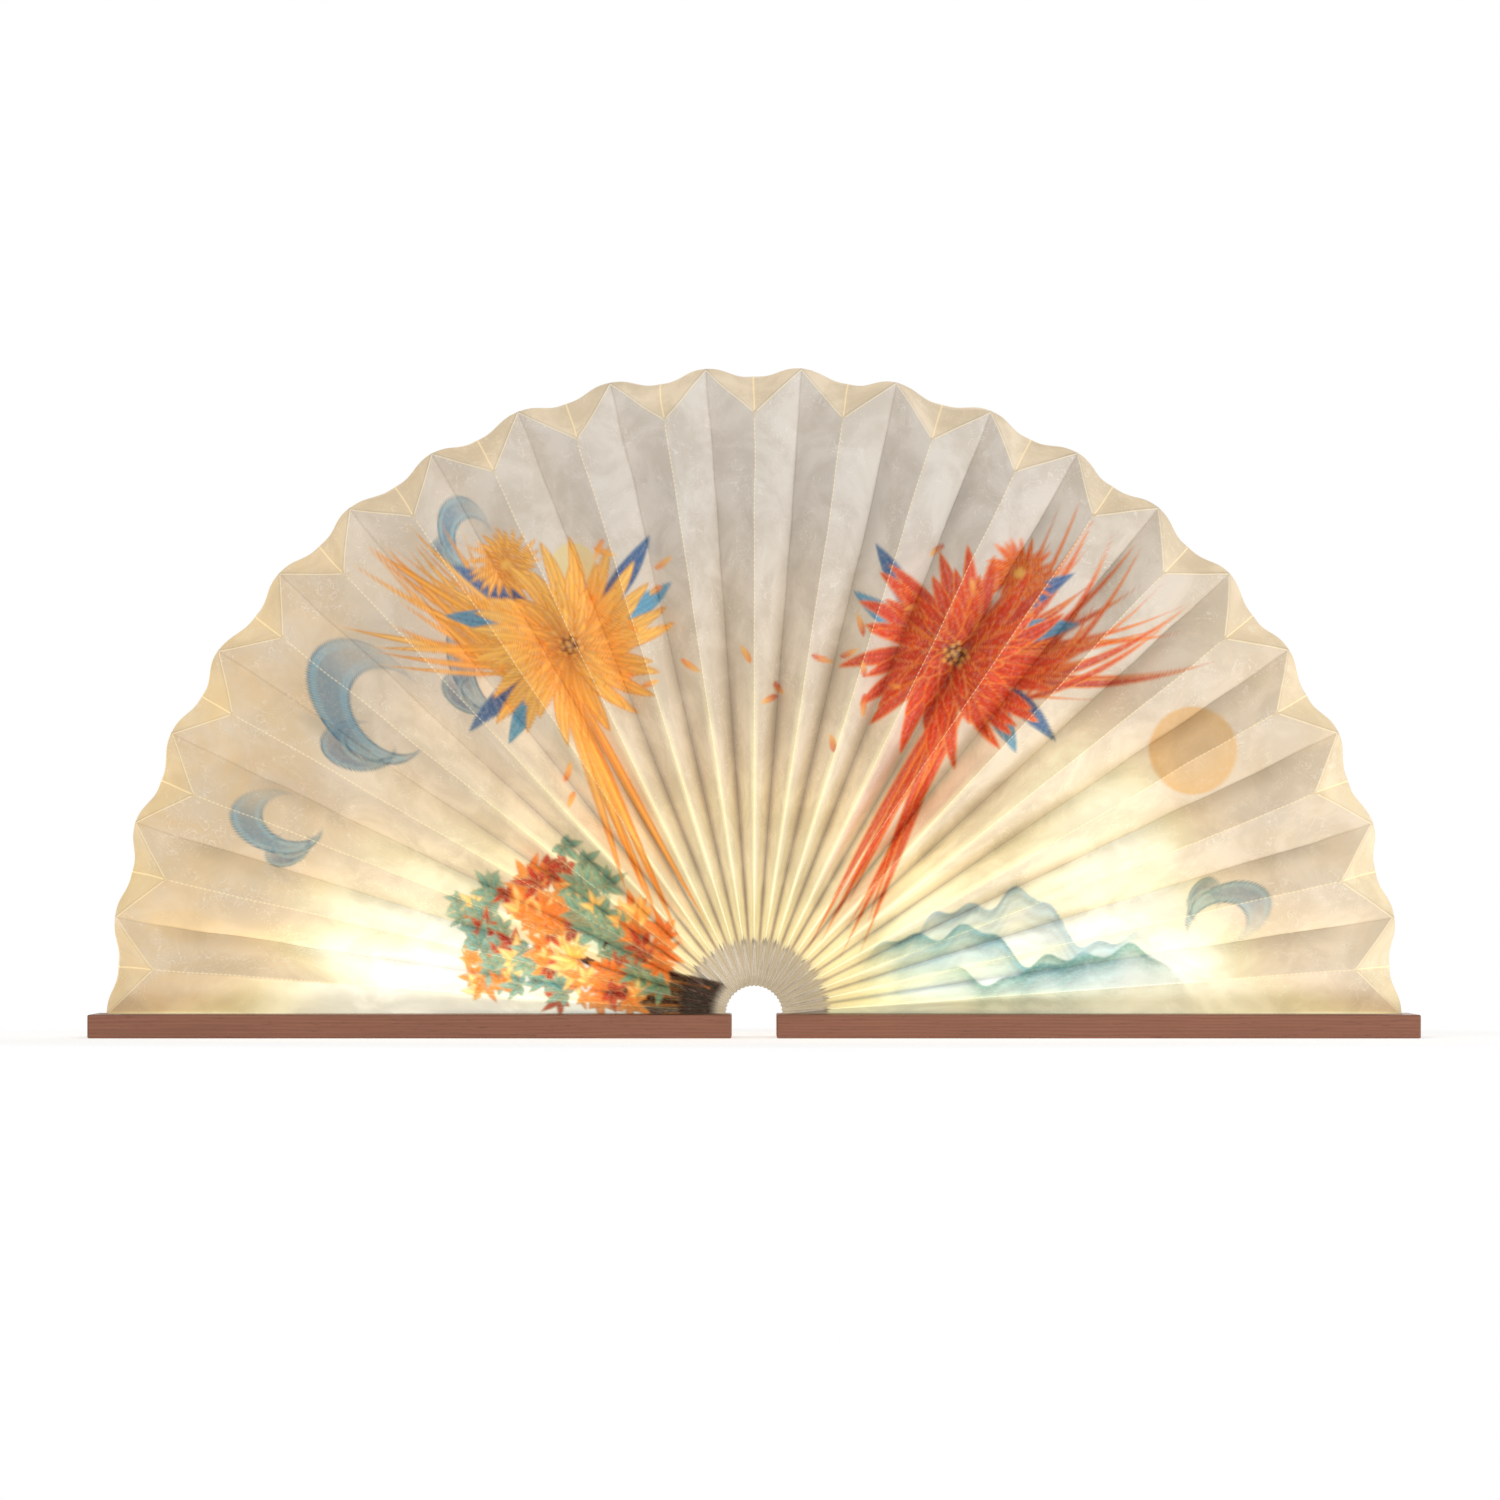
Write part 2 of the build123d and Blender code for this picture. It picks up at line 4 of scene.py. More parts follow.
import bmesh
import bpy
import numpy as np
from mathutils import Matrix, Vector

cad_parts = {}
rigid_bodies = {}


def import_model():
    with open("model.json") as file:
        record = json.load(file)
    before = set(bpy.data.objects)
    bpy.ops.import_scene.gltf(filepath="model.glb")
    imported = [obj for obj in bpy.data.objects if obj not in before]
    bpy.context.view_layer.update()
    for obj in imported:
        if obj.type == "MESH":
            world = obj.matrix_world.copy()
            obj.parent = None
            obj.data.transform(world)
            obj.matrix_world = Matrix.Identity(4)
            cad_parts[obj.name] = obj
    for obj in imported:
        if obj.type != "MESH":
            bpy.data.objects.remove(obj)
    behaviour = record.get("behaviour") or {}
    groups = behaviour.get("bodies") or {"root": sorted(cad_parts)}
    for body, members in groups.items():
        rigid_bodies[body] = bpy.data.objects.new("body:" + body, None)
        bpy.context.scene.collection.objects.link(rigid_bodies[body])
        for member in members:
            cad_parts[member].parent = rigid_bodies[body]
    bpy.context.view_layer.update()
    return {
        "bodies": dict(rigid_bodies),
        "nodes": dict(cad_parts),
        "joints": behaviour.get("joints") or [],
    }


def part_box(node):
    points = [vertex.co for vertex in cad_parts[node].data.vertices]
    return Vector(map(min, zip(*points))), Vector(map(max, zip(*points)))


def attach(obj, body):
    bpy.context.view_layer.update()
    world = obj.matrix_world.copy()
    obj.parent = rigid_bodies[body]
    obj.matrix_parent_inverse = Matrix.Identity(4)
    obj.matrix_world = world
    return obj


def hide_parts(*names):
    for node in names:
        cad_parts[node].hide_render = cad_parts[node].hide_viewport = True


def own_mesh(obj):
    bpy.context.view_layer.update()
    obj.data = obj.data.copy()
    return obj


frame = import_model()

bl_info = {
    "name": "Accordion Lamp",
    "version": (1, 0, 0),
    "blender": (4, 5, 0),
    "location": "3D View > Sidebar > Lamp",
    "description": "Dresses a folding lamp in walnut, pleated paper and light bars",
    "category": "Object",
}

pleat_names = sorted(name for name in frame["bodies"] if name.startswith("pleat_"))
half_step = math.pi / len(pleat_names) / 2
cover_low, cover_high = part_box("cover_left")
leaf_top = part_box("end_leaf_left")[1].z
bar_low, bar_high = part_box("diffuser_right")
fold_axis = next(joint for joint in frame["joints"] if joint["name"] == "fan_fold")["pos_m"][2]
shut_step = 2 * (fold_axis - cover_high.z) / len(pleat_names)
centre = Vector((0.0, 0.0, cover_high.z))

# Sizes in metres, but the dots along a fold in millimetres, as the print and the marks on the paper are
bar_inset = 0.012
first_chip, chip_pitch = 0.095, 0.01
clearance = 0.00005
dot_pitch = 2.2
to_mm = 1000

white = (1.0, 1.0, 1.0)
thread_tint = (0.93, 0.91, 0.87)


def length(name, description, default):
    return bpy.props.FloatProperty(
        name=name, description=description, default=default, unit="LENGTH", precision=4)


def amount(name, description, default, top=100.0):
    return bpy.props.FloatProperty(
        name=name, description=description, default=default, min=0.0, max=top)


def count(name, description, default):
    return bpy.props.IntProperty(name=name, description=description, default=default, min=1)


def colour(name, description, *default):
    return bpy.props.FloatVectorProperty(
        name=name, description=description, default=default, subtype="COLOR", min=0.0, max=1.0)


class BellowsSizes(bpy.types.PropertyGroup):
    """Sizes of the pleated paper"""
    panel_width: length("Panel width", "Width of the paper between two folds", 0.0232)
    spine_radius: length("Spine radius", "From the fan's middle to the paper", 0.013)
    spine_bulge: length("Spine bulge", "How much further the paper lies under a ridge", 0.0006)
    front_reach: length("Front reach", "From the middle plane to the ridges at the spine", 0.038)
    rim_radius: length("Rim radius", "From the fan's middle to the rim's points", 0.302)
    rim_corner: length("Rim corner", "How far inside the rim a ridge divides", 0.021)
    rim_dip: length("Rim dip", "How far the rim dips between two points", 0.0045)
    rim_bulge: length("Rim bulge", "How far the rim bows out at its middle", 0.0015)
    rim_shoulder: length("Rim shoulder", "Depth of the rim's rounded shoulder", 0.005)
    steps_along: count("Steps along", "Mesh steps along a panel", 270)
    steps_across: count("Steps across", "Mesh steps across a panel", 22)
    wave: length("Wave", "How far a panel waves between its folds", 0.0005)
    drift: length("Drift", "How far the folds stray near the rim", 0.0016)


class PaperLook(bpy.types.PropertyGroup):
    """Colours of the paper and its print"""
    pale: colour("Pale paper", "Paper where it is thin", 0.615, 0.582, 0.538)
    dull: colour("Dull paper", "Clouds in the paper", 0.50, 0.452, 0.388)
    aged: colour("Aged paper", "Warm paper near the rim", 0.58, 0.44, 0.27)
    line: colour("Fold line", "Where light leaks through a fold", 0.80, 0.69, 0.47)
    red: colour("Red", "Red blossom", 0.62, 0.045, 0.02)
    orange: colour("Orange", "Orange blossom and leaves", 0.85, 0.26, 0.03)
    gold: colour("Gold", "Gold leaves and petals", 0.88, 0.52, 0.12)
    teal: colour("Teal", "Teal leaves and hills", 0.14, 0.30, 0.27)
    blue: colour("Blue", "Mist and hills", 0.10, 0.33, 0.52)
    navy: colour("Navy", "Dark leaves", 0.035, 0.05, 0.20)
    bark: colour("Bark", "Stems and trunk", 0.075, 0.022, 0.014)
    sun: colour("Sun", "Large disc", 0.66, 0.42, 0.17)
    moon: colour("Moon", "Small pale disc", 0.74, 0.62, 0.25)
    glow: amount("Glow", "Light from inside", 1.0)


class WoodLook(bpy.types.PropertyGroup):
    """Colours of the walnut"""
    light: colour("Light walnut", "Wood between the grain lines", 0.308, 0.124, 0.070)
    dark: colour("Dark walnut", "Wood in the grain lines", 0.175, 0.063, 0.034)
    ring: length("Ring spacing", "Distance between growth rings", 0.0026)
    wear: amount("Edge wear", "How light the edges are rubbed", 0.35, 1.0)


class FittingLook(bpy.types.PropertyGroup):
    """Colours of the light bars, electronics and fasteners"""
    frosted: colour("Frosted cover", "Cover of a light bar", 0.86, 0.84, 0.79)
    lit: colour("Lit colour", "Light of the bars", 1.0, 0.80, 0.50)
    board: colour("Circuit board", "White solder mask", 0.80, 0.81, 0.79)
    copper: colour("Copper", "Bare contacts", 0.76, 0.42, 0.20)
    phosphor: colour("Phosphor", "Middle of a light chip", 0.90, 0.62, 0.12)
    steel: colour("Steel", "Screws and socket", 0.60, 0.60, 0.61)
    foil: colour("Foil", "Pouch of the cell", 0.62, 0.63, 0.66)
    tape: colour("Tape", "Heat-proof tape on the cell", 0.62, 0.30, 0.03)
    lead_red: colour("Red lead", "Positive wires", 0.50, 0.03, 0.02)
    lead_black: colour("Black lead", "Negative wires", 0.02, 0.02, 0.022)
    white: colour("White plastic", "Plug and flat cable", 0.80, 0.80, 0.77)
    black: colour("Black plastic", "Side-push switch", 0.022, 0.022, 0.026)
    button: colour("Button", "Power button", 0.13, 0.075, 0.052)


class StageLook(bpy.types.PropertyGroup):
    """Camera, light and floor"""
    floor: colour("Floor", "Pale floor", 0.86, 0.86, 0.86)
    key: amount("Key light", "Power of the light from the lower right", 52.0, 1000.0)
    fill: amount("Fill light", "Power of the light from above", 16.0, 1000.0)
    sky: amount("Sky", "Even light from all round", 0.42, 10.0)
    distance: length("Camera distance", "From the fan to the camera", 5.0)
    height: bpy.props.FloatProperty(
        name="Camera height", description="Angle of the camera above the floor",
        default=math.radians(-0.8), subtype="ANGLE", unit="ROTATION")
    frame_width: length("Frame width", "What the picture spans at the covers' front", 0.6975)


class LampSettings(bpy.types.PropertyGroup):
    """Everything that can be set on the lamp"""
    bellows: bpy.props.PointerProperty(type=BellowsSizes, name="Bellows")
    paper: bpy.props.PointerProperty(type=PaperLook, name="Paper")
    wood: bpy.props.PointerProperty(type=WoodLook, name="Wood")
    fittings: bpy.props.PointerProperty(type=FittingLook, name="Fittings")
    stage: bpy.props.PointerProperty(type=StageLook, name="Stage")
    shut_fill: amount("Shut fill", "How much of its room a pleat fills in the shut lamp", 0.97, 1.0)


# Node trees

class Wire:
    """A node's output, which adds and multiplies as a number or a vector does."""

    def __init__(self, graph, socket):
        self.graph = graph
        self.socket = socket

    def __add__(self, other):
        return self.graph.combine("ADD", self, other)

    def __sub__(self, other):
        return self.graph.combine("SUBTRACT", self, other)

    def __rsub__(self, other):
        return self.graph.combine("SUBTRACT", other, self)

    def __mul__(self, other):
        return self.graph.combine("MULTIPLY", self, other)

    def __truediv__(self, other):
        return self.graph.combine("DIVIDE", self, other)

    def __pow__(self, other):
        return self.graph.combine("POWER", self, other)

    __radd__ = __add__
    __rmul__ = __mul__


class Wires:
    """A node's outputs, each found by its name or number."""

    def __init__(self, graph, outputs):
        self.graph = graph
        self.outputs = outputs

    def __getitem__(self, key):
        return Wire(self.graph, self.outputs[key])


def is_vector(value):
    return isinstance(value, tuple) or (
        isinstance(value, Wire) and value.socket.type in ("VECTOR", "RGBA"))


class Graph:
    """One node tree, in rows from left to right. Its end, a shader or an output, stands beyond them."""

    row_length = 14

    def __init__(self, tree, end):
        self.tree = tree
        tree.nodes.clear()
        self.end = self.node(end, location=(190 * (self.row_length + 1), 0))

    def node(self, kind, inputs=None, **settings):
        item = self.tree.nodes.new(kind)
        row, column = divmod(len(self.tree.nodes), self.row_length)
        item.location = (190 * column, -260 * row)
        for name, value in settings.items():
            setattr(item, name, value)
        for key, value in (inputs or {}).items():
            self.put(item.inputs[key], value)
        return item

    def add(self, kind, inputs=None, **settings):
        return Wires(self, self.node(kind, inputs, **settings).outputs)

    def put(self, socket, value):
        if isinstance(value, Wire):
            self.tree.links.new(value.socket, socket)
        elif socket.type == "RGBA":
            socket.default_value = (*value, 1.0)
        else:
            socket.default_value = value

    def give(self, item=None, **values):
        """Fills inputs of a node, or of the end, named with underscores for spaces."""
        for name, value in values.items():
            self.put((item or self.end).inputs[name.replace("_", " ")], value)

    def math(self, operation, *values):
        return self.add("ShaderNodeMath", dict(enumerate(values)), operation=operation)[0]

    def vector(self, operation, *values):
        wires = self.add("ShaderNodeVectorMath", dict(enumerate(values)), operation=operation)
        return wires[1 if operation in ("LENGTH", "DISTANCE", "DOT_PRODUCT") else 0]

    def combine(self, operation, first, second):
        """Takes two numbers or two vectors together, or scales a vector by a number."""
        vectors = [value for value in (first, second) if is_vector(value)]
        if len(vectors) == 1:
            factor = second if is_vector(first) else first
            return self.add("ShaderNodeVectorMath", {0: vectors[0], 3: factor}, operation="SCALE")[0]
        return (self.vector if vectors else self.math)(operation, first, second)

    def split(self, vector):
        return self.add("ShaderNodeSeparateXYZ", {0: vector})

    def join(self, x, y, z):
        return self.add("ShaderNodeCombineXYZ", {0: x, 1: y, 2: z})[0]

    def blend(self, factor, low, high, mode="MIX"):
        inputs = {0: factor, 6: low, 7: high}
        return self.add("ShaderNodeMix", inputs, data_type="RGBA", blend_type=mode)[2]

    def layers(self, base, *coats):
        """Lays coats over a base colour, each given as its mask and its colour."""
        for mask, tint in coats:
            base = self.blend(mask, base, tint)
        return base

    def between(self, factor, low, high):
        return self.add("ShaderNodeMix", {0: factor, 4: low, 5: high}, data_type="VECTOR")[1]

    def step(self, value, low, high, start=0.0, end=1.0):
        """Goes smoothly from start to end while the value goes from low to high."""
        inputs = {0: value, 1: low, 2: high, 3: start, 4: end}
        return self.add("ShaderNodeMapRange", inputs, interpolation_type="SMOOTHSTEP")[0]

    def noise(self, place, scale, detail=2.0, roughness=0.5, distortion=0.0, output=0):
        inputs = {"Vector": place, "Scale": scale, "Detail": detail, "Roughness": roughness,
                  "Distortion": distortion}
        return self.add("ShaderNodeTexNoise", inputs)[output]

    def ramp(self, value, *stops):
        item = self.node("ShaderNodeValToRGB", {0: value})
        points = item.color_ramp.elements
        while len(points) < len(stops):
            points.new(0.5)
        for point, (position, *tint) in zip(points, stops):
            point.position = position
            point.color = (*tint, 1.0)
        return Wire(self, item.outputs[0])

    def bump(self, height, distance, strength):
        inputs = {"Height": height, "Distance": distance, "Strength": strength}
        return self.add("ShaderNodeBump", inputs)[0]

    def attribute(self, name):
        return self.add("ShaderNodeAttribute", attribute_name=name)

    def place(self):
        return self.add("ShaderNodeTexCoord")["Object"]

    def group(self, builder, kind="ShaderNodeGroup", **values):
        """The node group that a function builds, built once, with these values."""
        item = self.node(kind, node_tree=bpy.data.node_groups.get(builder.__name__) or builder())
        self.give(item, **values)
        return Wires(self, item.outputs)

    def shape(self, kind, mesh, settings=None, **values):
        """Passes a mesh through a geometry node."""
        item = self.node("GeometryNode" + kind, {0: mesh}, **(settings or {}))
        self.give(item, **values)
        return Wire(self, item.outputs[0])

    def gather(self, *meshes):
        joined = self.node("GeometryNodeJoinGeometry")
        for mesh in meshes:
            self.put(joined.inputs[0], mesh)
        return Wire(self, joined.outputs[0])


def named_tree(name, inputs, *outputs):
    """A node group with these inputs and their defaults, and outputs: numbers, or one Mesh for a shape."""
    shaped = outputs == ("Mesh",)
    tree = bpy.data.node_groups.new(name, "GeometryNodeTree" if shaped else "ShaderNodeTree")
    kinds = {float: "Float", int: "Int", tuple: "Vector", bpy.types.Material: "Material"}
    for label, default in inputs.items():
        kind = "NodeSocket" + kinds[type(default)]
        tree.interface.new_socket(label, in_out="INPUT", socket_type=kind).default_value = default
    for label in outputs:
        kind = "NodeSocketGeometry" if shaped else "NodeSocketFloat"
        tree.interface.new_socket(label, in_out="OUTPUT", socket_type=kind)
    graph = Graph(tree, "NodeGroupOutput")
    return tree, graph, graph.add("NodeGroupInput")


def new_material(name, **fixed):
    """A material with one Principled shader, and the values that are the same all over it."""
    material = bpy.data.materials.new(name)
    material.use_nodes = True
    graph = Graph(material.node_tree, "ShaderNodeBsdfPrincipled")
    graph.node("ShaderNodeOutputMaterial", {"Surface": Wire(graph, graph.end.outputs[0])},
               location=(190 * (graph.row_length + 3), 0))
    graph.give(**fixed)
    return material, graph


def paint_nodes(material, *nodes):
    for name in nodes:
        slots = frame["nodes"][name].data.materials
        slots.clear()
        slots.append(material)


def place_piece(mesh, *materials):
    piece = bpy.data.objects.new(mesh.name, mesh)
    bpy.context.scene.collection.objects.link(piece)
    for material in materials:
        mesh.materials.clear()
        mesh.materials.append(material)
    return piece


def shade(tint, factor):
    return tuple(factor * part for part in tint)


# Effects shared by several materials

def edge_wear():
    """Light on rubbed edges, broken up by dust-fine noise."""
    tree, graph, given = named_tree(
        "edge_wear", {"Place": (0.0, 0.0, 0.0), "Radius": 0.0005, "Speckle": 900.0}, "Edge", "Dust")
    rounded = graph.add("ShaderNodeBevel", {"Radius": given["Radius"]}, samples=4)[0]
    bend = graph.vector("DOT_PRODUCT", rounded, graph.add("ShaderNodeNewGeometry")["Normal"])
    speckle = graph.noise(given["Place"], given["Speckle"], 3.0, 0.6)
    graph.give(Edge=graph.step(bend, 0.98, 0.80) * graph.step(speckle, 0.35, 0.62), Dust=speckle)
    return tree


def walnut_grain():
    """Walnut figure along X: growth rings, streaks and short dark pores."""
    tree, graph, given = named_tree(
        "walnut_grain", {"Place": (0.0, 0.0, 0.0), "Ring spacing": 0.0026},
        "Figure", "Streak", "Pore", "Height")
    place = given["Place"]
    sway = graph.noise(place * (5.0, 26.0, 26.0), 1.0, 3.0, 0.55)
    x, y, z = graph.split(place)
    distance = graph.vector("LENGTH", graph.join(0.0, y + 0.031, (z + 0.055) * 1.6))
    late = graph.math("FRACT", (distance + sway * 0.013) / given["Ring spacing"]) ** 2.2
    streak = graph.noise(place * (22.0, 950.0, 950.0), 1.0, 3.0, 0.6)
    pore = graph.step(graph.noise(place * (130.0, 3200.0, 3200.0), 1.0, 1.0), 0.66, 0.74)
    graph.give(Figure=late * graph.step(sway, 0.25, 0.6, 0.35, 1.0), Streak=streak, Pore=pore,
               Height=streak * 0.4 - pore)
    return tree


def paper_fibre():
    """Clouds and fine curled fibres of handmade paper."""
    tree, graph, given = named_tree(
        "paper_fibre", {"Place": (0.0, 0.0, 0.0), "Fibre scale": 170.0}, "Cloud", "Fibre", "Height")
    place, scale = given["Place"], given["Fibre scale"]
    off_line = graph.math("ABSOLUTE", graph.noise(place, scale, 2.0, 0.5, 1.4) - 0.5)
    patch = graph.step(graph.noise(place, scale * 0.4), 0.42, 0.62)
    fibre = graph.step(off_line, 0.028, 0.0) * patch
    graph.give(Cloud=graph.noise(place, 34.0, 6.0, 0.64, 0.5), Fibre=fibre,
               Height=graph.noise(place, scale * 6.0, 3.0, 0.6) * 0.6 + fibre)
    return tree


# Paper bellows

def paper_strip():
    """A paper strip ruled between a stretch of a ridge and a stretch of a valley."""
    tree, graph, given = named_tree("paper_strip", {
        **dict.fromkeys(("Ridge start", "Ridge end", "Valley start", "Valley end"), (0.0, 0.0, 0.0)),
        **dict.fromkeys(("Bow", "Slack", "Round start", "Round end"), 0.0),
        "Panel width": 0.0232, "Fold centre": 0.0264, "Half step": half_step,
        "Steps along": 12, "Steps across": 12}, "Mesh")
    mesh = graph.add("GeometryNodeMeshGrid", {
        "Size X": 1.0, "Size Y": 1.0,
        "Vertices X": given["Steps along"] + 1.0, "Vertices Y": given["Steps across"] + 1.0})[0]
    along, across, _ = graph.split(graph.add("GeometryNodeInputPosition")[0] + (0.5, 0.5, 0.0))

    def fold_line(name, side, turn):
        """A stretch of a ridge or valley, bowed as the fold is, and turned off the ridge's plane."""
        chord_line = graph.between(along, given[name + " start"], given[name + " end"])
        out, straight, _ = graph.split(chord_line)
        chord = out * graph.math("TANGENT", given["Half step"])
        square = graph.math("MAXIMUM", given["Panel width"] ** 2.0 - chord ** 2.0, 0.0)
        bowed = -1.0 * (given["Fold centre"] + graph.math("SQRT", square) * side)
        deep = straight + (bowed - straight) * given["Bow"]
        return graph.join(out * graph.math("COSINE", turn), deep, out * graph.math("SINE", turn))

    ridge = fold_line("Ridge", 0.5, 0.0)
    valley = fold_line("Valley", -0.5, given["Half step"])
    rounding = given["Round start"] + (given["Round end"] - given["Round start"]) * along
    curve = graph.math("SINE", across * -math.tau) * rounding
    place = graph.between(across, ridge, valley) + graph.join(curve, 0.0, 0.0)
    swell = graph.math("SINE", across * math.pi)
    ends = graph.math("MINIMUM", graph.math("MINIMUM", along, 1.0 - along) * 9.0, 1.0)
    for name, value in (("from_ridge", graph.vector("DISTANCE", place, ridge)),
                        ("from_valley", graph.vector("DISTANCE", place, valley)),
                        ("slack", swell * ends * given["Slack"])):
        mesh = graph.shape("StoreNamedAttribute", mesh, {"data_type": "FLOAT"}, Name=name, Value=value)
    graph.give(Mesh=graph.shape("SetPosition", mesh, Position=place))
    return tree


def labelled(sizes):
    """The values of a property group, under the labels that a user sees."""
    return {sizes.bl_rna.properties[key].name: getattr(sizes, key) for key in sizes.__annotations__}


def pleat_tree(name, first, last, sizes, paper):
    """These strips of one pleat, mirrored over the ridge and from front to back, and turned into place."""
    tree, graph, given = named_tree(name, {
        **labelled(sizes), "Half step": half_step, "Ridge angle": 0.0, "Axis height": cover_high.z,
        "Seed": 0.0, "Paper": paper}, "Mesh")
    width, front, angle = given["Panel width"], given["Front reach"], given["Half step"]
    inner, outer, bulge = given["Spine radius"], given["Rim radius"], given["Rim bulge"]
    fold_centre = front - width * 0.5

    def depth_at(radius, side):
        """How far in front of the middle plane a ridge (0.5) or valley (-0.5) lies."""
        chord = radius * graph.math("TANGENT", angle)
        return fold_centre + graph.math("SQRT", width ** 2.0 - chord ** 2.0) * side

    spine_reach = front - width
    floor = inner + given["Spine bulge"]
    crown = outer - given["Rim corner"]
    dip = outer - given["Rim dip"]
    crown_reach = depth_at(crown, 0.5)
    corner_drop = graph.math("SQRT", width ** 2.0 - (dip - crown) ** 2.0)
    rim_reach = depth_at(outer, -0.5)
    ridge, valley = ([graph.join(out, -1.0 * depth, 0.0) for out, depth in line] for line in (
        ((floor, 0.0), (floor, spine_reach), (inner + width, front), (crown, crown_reach),
         (dip, crown_reach - corner_drop), (dip + bulge, 0.0)),
        ((inner, 0.0), (inner, spine_reach * 0.5), (inner, spine_reach), (outer, rim_reach),
         (outer + bulge / 3.0, rim_reach - given["Rim shoulder"]), (outer + bulge, 0.0))))
    rounding = given["Rim dip"] / math.tau
    strips = ((4, 0.0, 0.0, 0.0, 0.0), (18, 0.0, 0.1, 0.0, 0.0), (given["Steps along"], 1.0, 1.0, 0.0, 0.0),
              (16, 0.0, 0.4, 0.0, rounding), (14, 0.0, 0.5, rounding, rounding))
    mesh = graph.gather(*(
        graph.group(paper_strip, "GeometryNodeGroup", Ridge_start=ridge[number], Ridge_end=ridge[number + 1],
                    Valley_start=valley[number], Valley_end=valley[number + 1], Bow=bow, Slack=slack,
                    Round_start=start, Round_end=end, Panel_width=width, Fold_centre=fold_centre,
                    Half_step=angle, Steps_along=along, Steps_across=given["Steps across"])[0]
        for number, (along, bow, slack, start, end) in list(enumerate(strips))[first:last]))
    for scale in ((1, 1, -1), (1, -1, 1)):
        mesh = graph.gather(mesh, graph.shape("FlipFaces", graph.shape("Transform", mesh, Scale=scale)))
    mesh = graph.shape("MergeByDistance", mesh, Distance=0.00002)
    mesh = graph.shape("StoreNamedAttribute", mesh, {"data_type": "FLOAT_VECTOR"}, Name="local",
                       Value=graph.add("GeometryNodeInputPosition")[0])
    turn = graph.join(0.0, given["Ridge angle"] * -1.0, 0.0)
    mesh = graph.shape("Transform", mesh, Rotation=graph.add("FunctionNodeEulerToRotation", {0: turn})[0],
                       Translation=graph.join(0.0, 0.0, given["Axis height"]))

    # The paper isn't quite flat: panels wave between their folds, and folds stray near the rim
    place = graph.add("GeometryNodeInputPosition")[0]
    x, y, z = graph.split(place)
    slack = graph.add("GeometryNodeInputNamedAttribute", {"Name": "slack"}, data_type="FLOAT")[0]
    swing = graph.noise(place + graph.join(given["Seed"], 0.0, 0.0), 17.0, 1.5) * 2.0 - 1.0
    wave = graph.add("GeometryNodeInputNormal")[0] * (swing * slack * given["Wave"])
    out = graph.vector("DISTANCE", place, graph.join(0.0, y, given["Axis height"]))
    loose = graph.step(out, 0.11, 0.30) * graph.step(z - given["Axis height"], 0.003, 0.035)
    stray = graph.noise(place, 24.0, 1.0, output=1) - (0.5, 0.5, 0.5)
    mesh = graph.shape("SetPosition", mesh, Offset=wave + stray * (loose * (given["Drift"] * 2.0)))
    mesh = graph.shape("SetShadeSmooth", mesh, Shade_Smooth=True)
    bend = graph.add("GeometryNodeInputMeshEdgeAngle")["Unsigned Angle"]
    crisp = graph.add("FunctionNodeCompare", {0: bend, 1: 0.16}, operation="GREATER_THAN")[0]
    mesh = graph.shape("SetShadeSmooth", mesh, {"domain": "EDGE"}, Selection=crisp, Shade_Smooth=False)
    mesh = graph.shape("RealizeInstances", mesh)
    graph.give(Mesh=graph.shape("SetMaterial", mesh, Material=given["Paper"]))
    return tree


def grown(name, tree, **values):
    """A plain mesh piece, as a node tree makes it from its defaults and these values."""
    piece = place_piece(bpy.data.meshes.new(name))
    modifier = piece.modifiers.new("shape", "NODES")
    modifier.node_group = tree
    for item in tree.interface.items_tree:
        if item.in_out == "INPUT":
            modifier[item.identifier] = values.get(item.name.replace(" ", "_"), item.default_value)
    bpy.context.view_layer.update()
    seen = piece.evaluated_get(bpy.context.evaluated_depsgraph_get())
    mesh = bpy.data.meshes.new_from_object(seen)
    piece.modifiers.remove(modifier)
    piece.data = mesh
    mesh.name = name
    return piece


# Print on the paper: a picture held as numbers, read at the points of the paper

def smooth(value, start, end):
    share = np.clip((value - start) / (end - start), 0, 1)
    return share * share * (3 - 2 * share)


def away(place, distance, angle):
    """The point at this distance from a place, in the direction of an angle."""
    return place[0] + distance * math.cos(angle), place[1] + distance * math.sin(angle)


def polar(radius, degrees):
    return away((0.0, 0.0), radius, math.radians(degrees))


